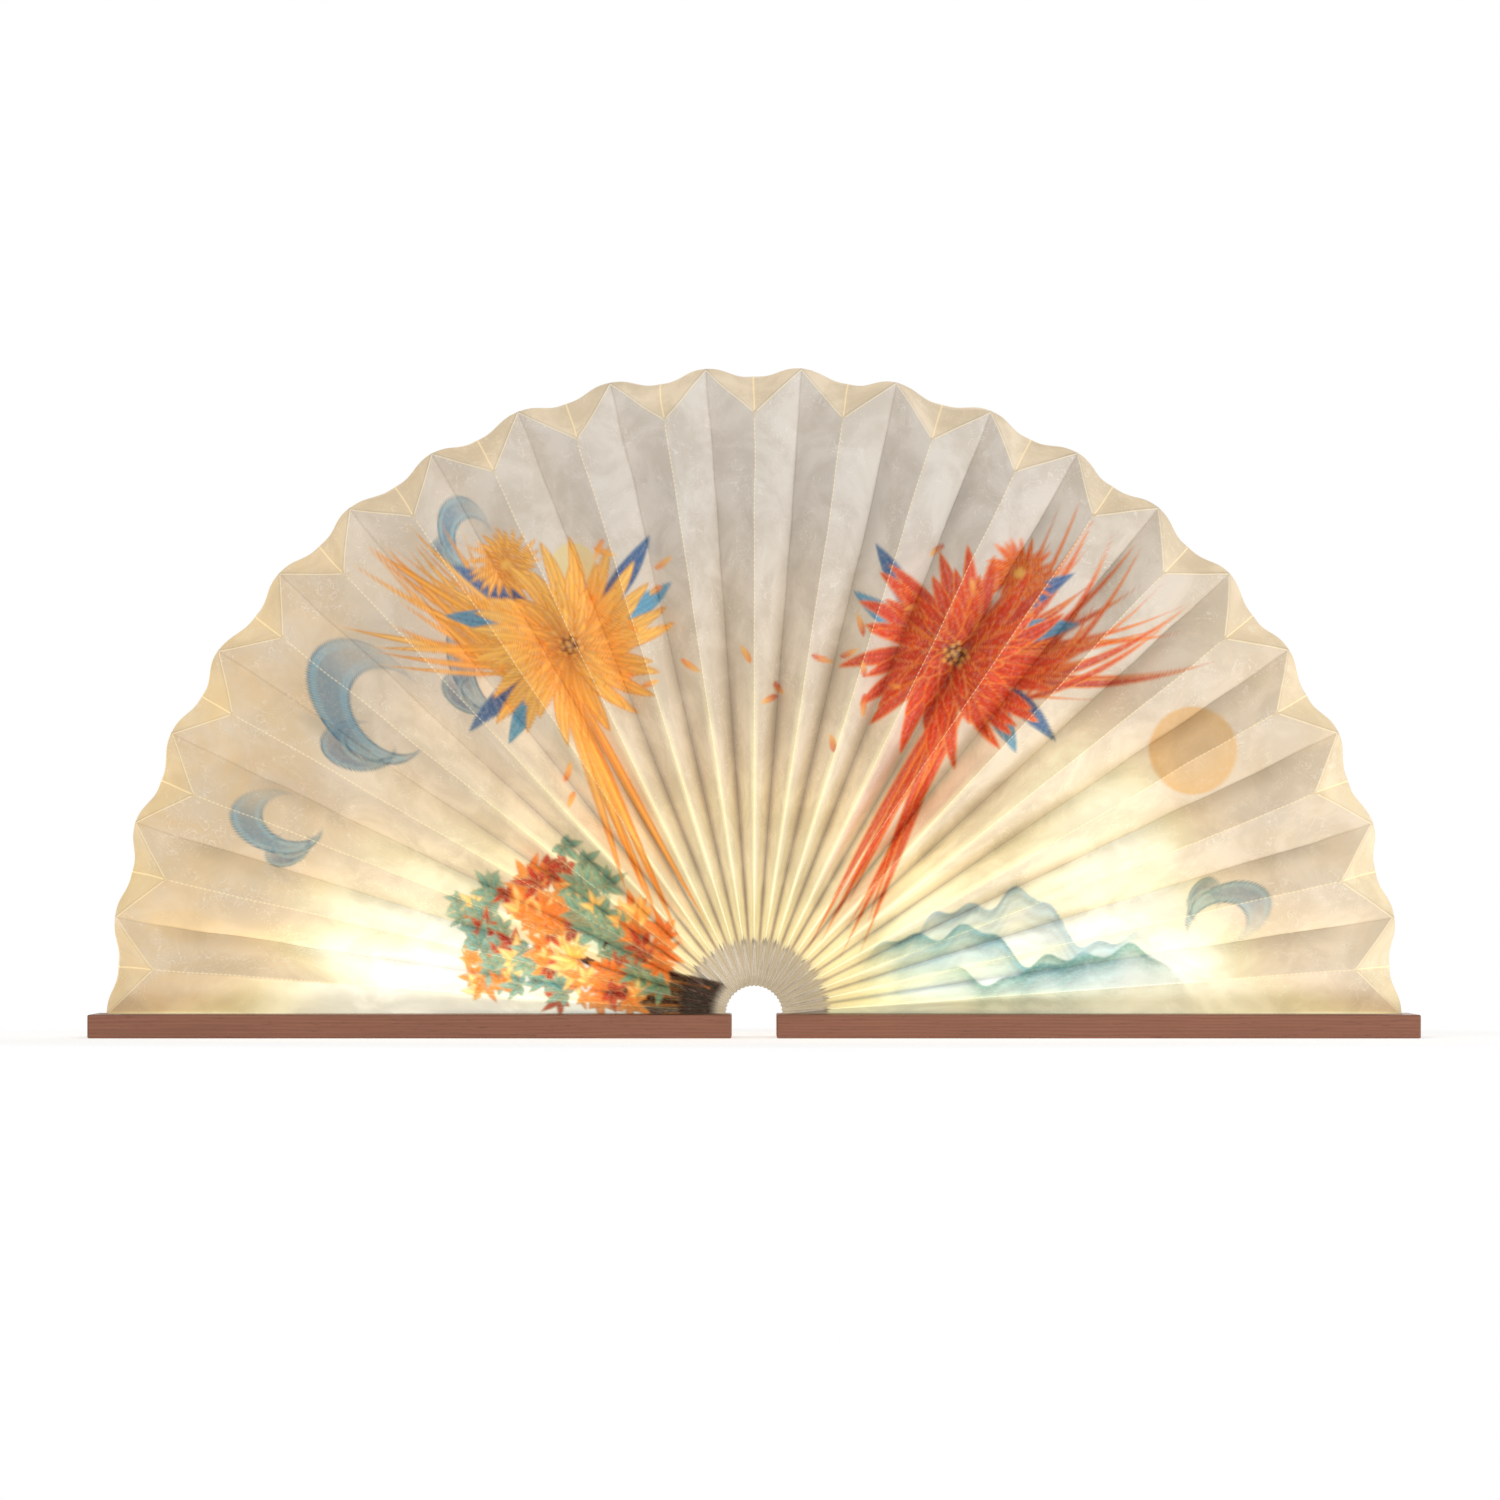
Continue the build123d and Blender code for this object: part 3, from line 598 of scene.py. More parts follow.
class Canvas:
    """Inks laid one over another on a flat sheet. Places are in millimetres."""

    def __init__(self, reach, pitch):
        self.reach = reach
        self.pitch = pitch
        self.x, self.z = np.meshgrid(np.arange(-reach, reach + pitch, pitch),
                                     np.arange(0.0, reach + pitch, pitch))
        self.ink = np.zeros((*self.x.shape, 4), np.float32)
        self.chance = np.random.RandomState(11)

    def around(self, place, reach):
        """The part of the sheet within reach of a place, and how far it lies to the right and above."""
        x, z = place
        where = tuple(slice(int(max((middle - reach) / self.pitch, 0)),
                            int(max((middle + reach) / self.pitch + 1, 0)))
                      for middle in (z, x + self.reach))
        return where, self.x[where] - x, self.z[where] - z

    def lay(self, where, mask, tint):
        """Covers the sheet there with this colour as far as the mask says."""
        mask = np.clip(mask, 0.0, 1.0)[..., None]
        ink = self.ink[where]
        ink *= 1 - mask
        ink[..., :3] += mask * np.array(tint)
        ink[..., 3:] += mask

    def disc(self, place, radius, tint, strength):
        where, east, up = self.around(place, radius + 2)
        distance = np.hypot(east, up)
        shade = 0.8 + 0.2 * np.clip(distance / radius, 0, 1) ** 2
        self.lay(where, strength * shade * np.clip(radius - distance + 0.5, 0, 1), tint)

    def petal(self, place, angle, reach, width, bend, inner, outer, strength, point, line=None):
        """A petal, leaf or brush stroke from a base point, with its colour going from base to tip."""
        where, east, up = self.around(place, reach + abs(bend) + width)
        along = (east * math.cos(angle) + up * math.sin(angle)) / reach
        aside = up * math.cos(angle) - east * math.sin(angle) - bend * along * np.abs(along)
        inside = np.clip(along, 0, 1)
        widest = 0.6 / (0.6 + point)
        outline = (inside / widest) ** 0.6 * ((1 - inside) / (1 - widest)) ** point
        edge = width / 2 * outline - np.abs(aside)
        mask = np.clip(edge / 0.7 + 0.4, 0, 1) * ((along > 0) & (along < 1))
        tint = inner * (1 - inside[..., None]) + outer * inside[..., None]
        tint = tint * (1 - 0.16 * np.cos(aside * 2.6 + 5 * along) * np.clip(edge, 0, 1))[..., None]
        if line is not None:
            border = 0.6 * np.clip(1 - np.abs(edge - 0.4) / 0.6, 0, 1)[..., None]
            tint = tint * (1 - border) + line * border
        self.lay(where, strength * mask, tint)

    def stem(self, points, start, end, tint):
        """A smooth stem through these points, thinning from start to end."""
        steps = np.linspace(0, len(points) - 1, 14 * len(points))
        line = np.stack([np.interp(steps, range(len(points)), side) for side in zip(*points)], 1)
        for _ in range(6):
            line[1:-1] = (line[:-2] + 2 * line[1:-1] + line[2:]) / 4
        for place, run, width in zip(line, np.diff(line, axis=0), np.linspace(start, end, len(line))):
            reach = math.hypot(*run)
            where, east, up = self.around(place, reach + start)
            x, z = run / reach
            along = np.clip(east * x + up * z, 0, reach)
            off = np.hypot(east - along * x, up - along * z)
            rough = 1 + 0.25 * np.sin(up * 2.1) * np.sin(east * 1.7)
            self.lay(where, 0.95 * np.clip((width / 2 * rough - off) / 0.6 + 0.5, 0, 1), tint)

    def blossom(self, place, radius, heart, middle, tips, line, turn):
        """A full flower with long curved petals, from the outer ring to the inner one."""
        for ring, (share, number) in enumerate(((1.0, 21), (0.80, 18), (0.60, 15), (0.42, 12), (0.26, 9))):
            base = middle * (1 - 0.22 * ring) + heart * 0.22 * ring
            for index in range(number):
                jitter = self.chance.uniform(-0.5, 0.5, 4)
                angle = turn + (index + 0.5 * ring + 0.5 * jitter[0]) * math.tau / number
                reach = radius * share * (1 + 0.22 * jitter[1])
                self.petal(away(place, 0.16 * reach, angle), angle, reach,
                           0.20 * radius * (0.7 + 0.3 * share), reach * (0.22 + 0.2 * jitter[2]),
                           base, tips * (1 + 0.25 * jitter[3]), 0.95, 0.72, line)

    def fan_leaf(self, place, angle, size, inner, outer, line):
        """A leaf with five pointed fingers."""
        for turn, share in ((-1.9, 0.5), (1.9, 0.5), (-0.95, 0.8), (0.95, 0.8), (0.0, 1.0)):
            self.petal(place, angle + turn, size * share, size * 0.34, 0.0, inner, outer, 0.94, 1.1, line)

    def hills(self, low, high, base, height, tint, fade, seed):
        """A misty ridge of hills: dark along its crest, and fading out below it."""
        middle, half = (low + high) / 2, (high - low) / 2
        where, east, up = self.around((middle, base), half + height)
        x = east + middle
        waves = sum(share * np.sin(x / span + turn * seed)
                    for share, span, turn in ((0.55, 17.0, 1), (0.3, 7.3, 2), (0.15, 3.1, 5)))
        depth = height * (waves + 0.8 * (1 - (east / half) ** 2)) - up
        side = np.clip((half - np.abs(east)) / (0.35 * half), 0, 1)
        mask = np.clip(depth + 0.5, 0, 1) * np.exp(-np.clip(depth, 0, None) / fade) * side
        fold = 0.85 + 0.15 * np.sin(depth * 1.1 + x / 4.0)
        self.lay(where, 0.9 * mask, tint * fold[..., None])

    def mist(self, place, size, angle, tint, line):
        """A curl of mist: a soft crescent with thin lines along it."""
        where, east, up = self.around(place, 1.3 * size)
        u = (east * math.cos(angle) + up * math.sin(angle)) / size
        v = (up * math.cos(angle) - east * math.sin(angle)) / size
        inner = np.hypot(u + 0.32, (v + 0.16) * 1.35) - 0.66
        body = np.minimum(1 - np.hypot(u, v * 1.5), inner) * size
        fade = np.clip(0.95 - 0.75 * np.clip(-v * 1.3 + 0.25, 0, 1) - 0.35 * np.clip(-u, 0, 1), 0.0, 1)
        depth = np.clip(body / (0.17 * size), 0, 1)
        ripple = smooth(np.cos(math.tau * (2.6 * depth + 0.25 * v)), -0.35, 0.35)
        self.lay(where, fade * np.clip(body / 0.9 + 0.3, 0, 1) * (0.72 + 0.28 * ripple),
                 tint * (0.62 + 0.38 * ripple[..., None]))
        self.lay(where, 0.8 * fade * np.clip(1.0 - np.abs(body - 0.5), 0, 1), 0.35 * tint)
        for share in (0.38, 0.77):
            edge = np.abs(body - share * 0.17 * size)
            self.lay(where, 0.6 * fade * np.clip(0.9 - edge, 0, 1), line)

    def sample(self, x, z):
        """The ink and its cover at these places."""
        column = np.clip((x + self.reach) / self.pitch, 0, self.x.shape[1] - 1.001)
        row = np.clip(z / self.pitch, 0, self.x.shape[0] - 1.001)
        i, j = row.astype(int), column.astype(int)
        a, b = (row - i)[:, None], (column - j)[:, None]
        low, high = (self.ink[k, j] * (1 - b) + self.ink[k, j + 1] * b for k in (i, i + 1))
        return low * (1 - a) + high * a


def printed_sheet(look):
    """Autumn flowers, a maple, hills and mist, on a sheet as wide as the open fan."""
    sheet = Canvas(306.0, 0.5)
    chance = sheet.chance
    red, orange, gold, teal, blue, navy, bark = (
        np.array(tint) for tint in (
            look.red, look.orange, look.gold, look.teal, look.blue, look.navy, look.bark))
    pale, mist_line, amber, rust = (np.array(tint) for tint in (
        (0.95, 0.72, 0.36), (0.50, 0.60, 0.52), (0.90, 0.42, 0.07), (0.42, 0.07, 0.015)))
    sheet.disc(polar(239, 31), 20.5, look.sun, 0.8)
    sheet.disc(polar(226, 112), 10.5, look.moon, 0.7)

    # Hills at the lower right
    sheet.hills(64, 190, 34, 17, 0.6 * blue + 0.25, 16, 1.3)
    sheet.hills(48, 165, 24, 13, 0.5 * blue + 0.5 * teal, 12, 2.9)
    sheet.hills(82, 205, 17, 11, teal, 9, 4.1)

    # Mist at the upper left and right
    for radius, degrees, size, angle, tint in (
            (232, 141, 34, 2.3, blue), (206, 127, 27, 2.0, 0.7 * blue + 0.3 * navy),
            (240, 158, 22, 2.9, blue), (226, 12, 21, 0.4, 0.8 * blue + 0.15), (262, 121, 18, 1.9, blue)):
        place = polar(radius, degrees)
        sheet.mist(place, size, angle, tint, mist_line)
        sheet.mist(away(place, 0.62 * size, angle + 2.2), 0.52 * size, angle + 0.7,
                   0.6 * tint + 0.4 * navy, mist_line)

    # Maple at the lower left: trunk from the spine, leaves in orange, gold and teal
    for degrees, reach, sway in ((176, 62, 2), (169, 74, 4), (162, 84, 6), (155, 78, 8), (148, 66, 9)):
        knee = polar(0.5 * (19 + reach), degrees + sway)
        sheet.stem((polar(19, degrees), knee, polar(reach, degrees)), 8.5, 3.0, bark)
        sheet.stem((polar(24, degrees + 1), polar(reach * 0.7, degrees + sway + 2)), 1.2, 0.8, 0.4 * orange)
    leaves = []
    for _ in range(210):
        spread = chance.uniform(0, 1, 5)
        radius, degrees = 44 + 112 * spread[0] ** 0.8, 138 + 38 * spread[1]
        if radius <= 150 - 1.4 * abs(degrees - 160):
            leaves.append((radius, degrees, *spread[2:]))
    for radius, degrees, kind, turn, size in sorted(leaves, key=lambda leaf: -leaf[0]):
        warm = math.sin(radius / 13.0 + degrees / 5.0) > -0.25
        inner, outer = (orange * 0.75, orange) if warm else (teal * 0.7, teal * 1.5 + 0.03)
        if kind > 0.84:
            inner, outer = gold, pale
        if kind < 0.12:
            inner, outer = red * 0.5, red * 0.9
        sheet.fan_leaf(polar(radius, degrees), math.tau * turn, 8 + 6 * size, inner, outer, 0.45 * gold + 0.1)

    # Two flowers with long leaves, orange on the left and red on the right
    for x, z, radius, heart, middle, tips, line, lean in (
            (-86, 172, 40, rust, amber * 0.95, gold, 0.8 * rust + 0.2 * amber, 1),
            (94, 168, 43, red * 0.35, red * 0.75, red * 0.9 + 0.15 * orange, amber, -1)):
        for number in range(34):
            spread = chance.uniform(-1, 1, 5)
            start = (x + lean * -14 + 16 * spread[1], z - 6 + 16 * spread[2])
            sheet.petal(start, math.pi / 2 + lean * (1.15 + 0.62 * spread[0]), 72 + 26 * spread[3],
                        3.6 + 1.3 * spread[4], lean * -(14 + 10 * spread[1]),
                        middle, tips if number % 3 else middle, 0.9, 1.3, line)
        for _ in range(9):
            spread = chance.uniform(-1, 1, 3)
            down = math.atan2(-z, -x) + 0.10 * spread[1] - 0.05 * lean
            sheet.petal((x + 7 * spread[0], z - 22), down, 118 + 16 * spread[2], 4.6,
                        lean * 7 * spread[0], tips, middle, 0.9, 1.1, line)
        for turn, reach, tint in ((0.9, 47, navy), (1.25, 40, blue * 0.7), (-0.7, 44, navy),
                                  (-1.1, 36, blue), (2.2, 42, navy), (2.5, 34, blue * 0.8)):
            angle = math.pi / 2 + lean * turn
            sheet.petal(away((x, z), 20, angle), angle, reach, 10.5, 5 * lean, tint,
                        0.6 * tint + 0.4 * blue, 0.95, 0.9, 0.35 * blue + 0.2)
        for place, size in (((x - 30 * lean, z + 38), 15), ((x, z), radius)):
            sheet.blossom(place, size, heart, middle, tips, line, 0.2 * lean)
            sheet.disc(place, 0.11 * size, 0.4 * heart, 0.95)
            for number in range(14):
                sheet.disc(away(place, 0.04 * size * math.sqrt(number), 2.4 * number), 0.9, gold, 0.9)

    # Loose petals in the wind
    for _ in range(26):
        spread = chance.uniform(0, 1, 4)
        place = polar(120 + 125 * spread[0], 60 + 70 * spread[1])
        sheet.petal(place, math.tau * spread[2], 7 + 5 * spread[3], 3.2, 1.5,
                    orange if place[0] < 0 else red, gold, 0.85, 0.8)
    return sheet


def bar_light(points, normals, wall):
    """How strongly the paper is lit from inside at these points, from 0 to 1."""
    total = np.zeros(len(points), np.float32)
    level = (bar_low.z + bar_high.z) / 2
    out = np.hypot(points[:, 0], points[:, 2] - cover_high.z)
    angle = np.degrees(np.arctan2(points[:, 2] - cover_high.z, points[:, 0]))
    lower = np.minimum(angle, 180 - angle)
    east = points[:, 0] > 0
    fade = (0.85 + 0.15 * smooth(out, 0.055, 0.105)) * (1 - 0.62 * smooth(out, 0.185, 0.270))
    fade = fade * (1 - 0.6 * ~east * smooth(out, 0.165, 0.215) * smooth(lower, 11, 4))
    fade = fade * (1 + 1.3 * np.exp(-((angle - 32) / 14) ** 2 - ((out - 0.200) / 0.035) ** 2))
    for side in (-1, 1):
        for radius in np.linspace(bar_low.x + bar_inset, bar_high.x - bar_inset, 9):
            ray = points - np.array((side * radius, 0.0, level))
            square = (ray ** 2).sum(1) + 0.026 ** 2
            total += (0.62 + 0.38 * (ray * normals).sum(1) / np.sqrt(square)) / square
    total = total * fade
    under = smooth(-normals[:, 2], 0.3, 0.8) * smooth(lower, 13, 5)
    total = total * (1 - under) + under * (1150 + 0.15 * total + 450 * ~east * smooth(out, 0.25, 0.20))
    rim = smooth(out, 0.225, 0.285)
    total = total + rim * (60 + (110 + 70 * east) * smooth(np.abs(points[:, 0]) / out, 0.5, 0.95))
    total = total + 430 * wall
    half_lit = 1000
    return total / (total + half_lit)


def read_points(layer, key, width=3):
    values = np.empty(len(layer) * width, np.float32)
    layer.foreach_get(key, values)
    return values.reshape(-1, width) if width > 1 else values


def write_points(mesh, name, values, kind="FLOAT_VECTOR", key="vector"):
    layer = mesh.attributes.new(name, kind, "POINT")
    layer.data.foreach_set(key, np.ascontiguousarray(values, np.float32).ravel())


def distance_to(points, start, end):
    run = end - start
    share = np.clip((points - start) @ run / (run @ run), 0, 1)
    return np.linalg.norm(points - start - share[:, None] * run, axis=1)


def mark_paper(mesh, sheet, sizes, glow):
    """Gives each point of a pleat its ink, folds and light, as attributes that the paper material reads."""
    place = read_points(mesh.vertices, "co")
    place[:, 2] = np.maximum(place[:, 2], leaf_top + clearance)
    mesh.vertices.foreach_set("co", place.ravel())
    mesh.update()
    normal = read_points(mesh.vertices, "normal")
    local = read_points(mesh.attributes["local"].data, "vector")
    from_ridge, from_valley = (
        read_points(mesh.attributes[name].data, "value", 1) * to_mm for name in ("from_ridge", "from_valley"))
    east, up = place[:, 0] * to_mm, (place[:, 2] - cover_high.z) * to_mm
    radius = np.hypot(east, up)
    front = np.abs(local)
    crown = sizes.rim_radius - sizes.rim_corner

    def corner(distance, side, turn):
        """A point of a ridge (0.5) or valley (-0.5), turned off the ridge's plane."""
        depth = math.sqrt(sizes.panel_width ** 2 - (distance * math.tan(half_step)) ** 2)
        return np.array((distance * math.cos(turn), sizes.front_reach - sizes.panel_width / 2 + side * depth,
                         distance * math.sin(turn)))

    tip = corner(sizes.rim_radius, -0.5, half_step)
    diagonal = distance_to(front, corner(crown, 0.5, 0.0), tip) * to_mm
    ridge_start, far_off = 35.5, 30.0
    on_ridge = np.where(local[:, 0] * to_mm > ridge_start, from_ridge, far_off)
    run = np.where((diagonal < on_ridge) | (local[:, 0] > crown), dot_pitch / 4, local[:, 0] * to_mm)
    write_points(mesh, "fold", np.stack([np.minimum(on_ridge, diagonal), run, from_valley], 1))

    aside = east / np.maximum(radius, 1)
    rim = smooth(radius, 165, 270) * np.maximum(smooth(-aside, 0.2, 0.95), 0.5 * smooth(aside, 0.3, 1.0))
    across = from_ridge / np.maximum(from_ridge + from_valley, 0.001)
    wall = smooth(front[:, 0] - crown - across * (tip[0] - crown), 0.0, 0.0015)
    lit = bar_light(place, normal, wall) * glow
    # Painted shade: a mask of the panels that face up and to the left, away from the light from the lower
    # right
    shaded = smooth(normal @ np.array((-0.5, 0.0, 0.86)), 0.1, 0.5) * (1 - wall)
    write_points(mesh, "light", np.stack([lit, rim, shaded], 1))

    facing = np.clip((front[:, 1] * to_mm - 11) / 3, 0, 1) * np.clip((285 - radius) / 8, 0, 1)
    ink = sheet.sample(np.where(place[:, 1] < 0, 1.0, -1.0) * east, up)
    ink = ink * (facing * np.clip((radius - 17) / 4, 0, 1))[:, None]
    write_points(mesh, "ink", ink, "FLOAT_COLOR", "color")
    write_points(mesh, "place", place)
    for name in ("from_ridge", "from_valley", "slack", "local"):
        mesh.attributes.remove(mesh.attributes[name])


def paper_material(look):
    """Handmade paper, printed, lit from inside, with light leaking through its ridges."""
    material, graph = new_material(
        "bellows_paper", Roughness=0.8, Specular_IOR_Level=0.25, Emission_Strength=1.0)
    step = graph.step
    place = graph.attribute("place")["Vector"]
    crease, run, seam = graph.split(graph.attribute("fold")["Vector"])
    lit, rim, shaded = graph.split(graph.attribute("light")["Vector"])
    ink = graph.attribute("ink")
    fibre = graph.group(paper_fibre, Place=place)
    level = (place - tuple(centre)) * (1.0, 0.0, 1.0)
    out = graph.vector("LENGTH", level)
    east, _, up = graph.split(level)
    turn = graph.math("ARCTAN2", up, east) / half_step

    # The edge of the light at the spine, torn at each fold
    ragged = graph.noise(graph.vector("NORMALIZE", level), 34.0) * 0.014 + out
    mouth = step(ragged, 0.0410, 0.0426)
    raised = step(graph.math("PINGPONG", turn, 1.0), 0.3, 0.85)
    # Painted shade: a darker band just inside the spine's edge of light, near the ridges, which also dims the
    # light there
    spine_edge_shade = step(out, 0.0315, 0.0345) * (1.0 - mouth) * raised

    # Bare paper and ink
    cloud = step(fibre["Cloud"], 0.36, 0.62)
    mottle = step(graph.noise(place, 21.0, 5.0, 0.66, 0.8), 0.36, 0.66)
    paper = graph.layers(look.pale, (cloud * 0.75, look.dull), (rim * (mottle * 0.55 + 0.45), look.aged))
    # Painted shade: the paper darkens slightly towards the spine, where the deep folds get less light from
    # outside
    paper = graph.blend(step(out, 0.235, 0.10), paper, (0.97, 0.95, 0.92), "MULTIPLY")
    paper = graph.blend(fibre["Fibre"] * 0.30, paper, thread_tint)
    grain = step(graph.noise(place, 420.0, 4.0, 0.65), 0.25, 0.6, 0.80, 1.0)
    cover = ink["Alpha"] * grain
    bare = 1.0 - cover
    tint = ink["Color"] * grain

    # Folds, and painted shade: in each valley, down the sides of each pleat near the spine, and the shade
    # that a pleat gives the next one
    dots = step(graph.math("SINE", run * (math.tau / dot_pitch)), -0.3, 0.55, 0.3, 1.0)
    line = step(crease, 0.62, 0.12) * dots
    # Painted shade in each valley, deepest at the fold
    valley_shade = step(seam, 0.0, 1.4, 0.84, 1.0) * (spine_edge_shade * -0.3 + 1.0)
    ends = step(out, 0.09, 0.19) * step(out, 0.292, 0.262)
    shadow = 1.0 - shaded * ends * step(seam, 0.0, 15.0, 0.26, 0.0)
    # Painted shade in a cool tint down both sides of each pleat near the spine, leaving its middle bright; it
    # also dims the light there
    tube_shade = step(out, 0.20, 0.11) * step(seam, 7.5, 0.0) * mouth
    base = (paper * bare + tint) * (valley_shade * shadow)
    base = graph.blend(tube_shade, base, (0.76, 0.78, 0.90), "MULTIPLY")

    # Light through the paper, which is warm where it is weak
    glow = graph.ramp(lit * (mouth * 0.88 + 0.12), (0.0, 0.0, 0.0, 0.0), (0.04, 0.09, 0.07, 0.05),
                      (0.08, 0.145, 0.115, 0.085), (0.16, 0.21, 0.155, 0.095), (0.31, 0.34, 0.242, 0.12),
                      (0.42, 0.445, 0.322, 0.155), (0.515, 0.56, 0.46, 0.21), (0.60, 0.68, 0.64, 0.40),
                      (0.667, 0.77, 0.77, 0.62), (0.76, 0.95, 0.95, 0.88))
    glow = glow * (graph.join(bare, bare, bare) + tint)
    glow = glow * (shadow * (tube_shade * -0.22 + 1.0) * (cloud * -0.22 + 1.08))
    glow = graph.blend(step(out, 0.105, 0.070), glow, (0.92, 1.0, 1.15), "MULTIPLY")
    open_paper = mouth * (cover * -0.85 + 1.0)
    crest = step(crease, 7.5, 0.0) * step(out, 0.185, 0.11) * open_paper
    flank = step(out, 0.04, 0.075, 1.0, 0.45) * step(out, 0.125, 0.095) * step(seam, 3.5, 11.0) * open_paper
    rays = step(graph.math("SINE", turn * (3 * math.pi)), -0.6, 0.6, 0.78, 1.1)
    ring = rays * (spine_edge_shade * -0.75 + 1.0) * (raised * -0.3 + 1.12) * (1.0 - mouth) * (cover * -0.85 + 1.0)
    for light, strength in (((0.15, 0.12, 0.055), line * mouth), ((0.29, 0.29, 0.14), crest),
                            ((0.10, 0.115, 0.045), flank), ((0.145, 0.128, 0.085), ring)):
        glow = glow + light * strength
    graph.give(Base_Color=graph.blend(line * 0.55, base, look.line), Emission_Color=glow,
               Normal=graph.bump(fibre["Height"] * 0.35 - line, 0.00022, 0.6))
    return material


# Materials of the covers, light bars, electronics and fasteners

def walnut_material(name, look, shift, tone):
    material, graph = new_material(name, Specular_IOR_Level=0.4)
    place = graph.add("ShaderNodeMapping", {"Vector": graph.place(), "Location": shift})[0]
    grain = graph.group(walnut_grain, Place=place, Ring_spacing=look.ring)
    worn = graph.group(edge_wear, Place=place, Radius=0.0007, Speckle=700.0)
    light, dark = shade(look.light, tone), shade(look.dark, tone)
    broad = graph.step(graph.noise(place * (9.0, 40.0, 40.0), 1.0), 0.4, 0.7)
    graph.give(
        Base_Color=graph.layers(
            light, (grain["Figure"] * 0.62, dark), (graph.step(grain["Streak"], 0.35, 0.68) * 0.34, dark),
            (grain["Pore"] * 0.55, shade(dark, 0.45)), (broad * 0.22, shade(light, 0.62)),
            (worn["Edge"] * look.wear, (0.46, 0.26, 0.17))),
        Roughness=grain["Streak"] * 0.25 + 0.36 - worn["Edge"] * 0.1,
        Normal=graph.bump(grain["Height"], 0.00006, 0.5))
    return material


def leaf_material(look):
    """Plain paper of the end leaves, under the light bars."""
    material, graph = new_material("leaf_paper", Roughness=0.85, Specular_IOR_Level=0.2)
    fibre = graph.group(paper_fibre, Place=graph.place(), Fibre_scale=220.0)
    cloud = graph.step(fibre["Cloud"], 0.35, 0.65)
    graph.give(
        Base_Color=graph.layers(
            look.pale, (cloud * 0.5, look.dull), (fibre["Fibre"] * 0.4, thread_tint)),
        Normal=graph.bump(fibre["Height"], 0.00012, 0.5))
    return material


def plastic_material(name, tint, rough, scale=1400.0):
    """Moulded plastic: fine spark texture, slight flow marks and rubbed edges."""
    material, graph = new_material(name)
    place = graph.place()
    worn = graph.group(edge_wear, Place=place, Radius=0.0003, Speckle=scale)
    flow = graph.step(graph.noise(place * (30.0, 90.0, 90.0), 1.0), 0.3, 0.7)
    rubbed = tuple(min(1.0, 1.35 * part + 0.03) for part in tint)
    graph.give(
        Base_Color=graph.layers(tint, (flow * 0.25, shade(tint, 0.82)), (worn["Edge"] * 0.5, rubbed)),
        Roughness=worn["Dust"] * 0.25 + rough,
        Normal=graph.bump(graph.noise(place, scale, 2.0, 0.6), 0.00004, 0.5))
    return material


def metal_material(name, tint, rough, stretch):
    """Drawn or turned metal: fine lines, smudges and brighter edges."""
    material, graph = new_material(name, Metallic=1.0)
    place = graph.place()
    worn = graph.group(edge_wear, Place=place, Radius=0.0002, Speckle=2200.0)
    lines = graph.noise(place * stretch, 1.0, 3.0, 0.65)
    smudge = graph.step(graph.noise(place, 160.0, 3.0, 0.6), 0.35, 0.7)
    graph.give(
        Base_Color=graph.layers(
            tint, (smudge * 0.35, shade(tint, 0.74)), (worn["Edge"] * 0.6, (0.86, 0.86, 0.87))),
        Roughness=lines * 0.22 + rough, Normal=graph.bump(lines, 0.00002, 0.4))
    return material


def frosted_material(look):
    """Frosted cover of a light bar, lit, with a faint brighter spot over each light chip."""
    material, graph = new_material("frosted_plastic", Roughness=0.45, Emission_Strength=0.9)
    place = graph.place()
    x, y, z = graph.split(place)
    out = graph.math("ABSOLUTE", x)
    ends = (graph.step(out, bar_low.x + bar_inset, bar_low.x + 0.032)
            * graph.step(out, bar_high.x - bar_inset, bar_high.x - 0.032))
    spots = graph.math("COSINE", (out - first_chip) * (math.tau / chip_pitch))
    near = graph.step(graph.math("ABSOLUTE", y), 0.011, 0.002)
    spark = graph.noise(place, 1800.0, 2.0, 0.6)
    graph.give(
        Base_Color=graph.blend(graph.step(spark, 0.3, 0.7), look.frosted, shade(look.frosted, 0.93)),
        Emission_Color=tuple(look.lit) * (ends * ((spots * 0.14 + 0.70) * near + 0.16)),
        Normal=graph.bump(spark, 0.00003, 0.6))
    return material


def board_material(look):
    """Circuit board: solder mask, buried traces, bare contacts and faint smudges."""
    material, graph = new_material("circuit_board", Specular_IOR_Level=0.5)
    place = graph.place()
    flat = place * (1.0, 1.0, 0.0)
    mask = graph.noise(place, 900.0)
    cells = graph.add("ShaderNodeTexVoronoi", {"Vector": flat, "Scale": 190.0, "Randomness": 0.55},
                      feature="DISTANCE_TO_EDGE")
    dots = graph.add("ShaderNodeTexVoronoi", {"Vector": flat, "Scale": 150.0, "Randomness": 0.7})
    trace = graph.step(cells["Distance"], 0.09, 0.05)
    contact = graph.step(dots["Distance"], 0.16, 0.12)
    graph.give(
        Base_Color=graph.layers(
            look.board, (trace * 0.28, shade(look.board, 0.72)), (contact * 0.85, look.copper),
            (graph.step(mask, 0.55, 0.8, 0.0, 0.2), (0.55, 0.54, 0.48))),
        Roughness=mask * 0.2 + 0.3, Normal=graph.bump(trace + contact, 0.00004, 0.5))
    return material


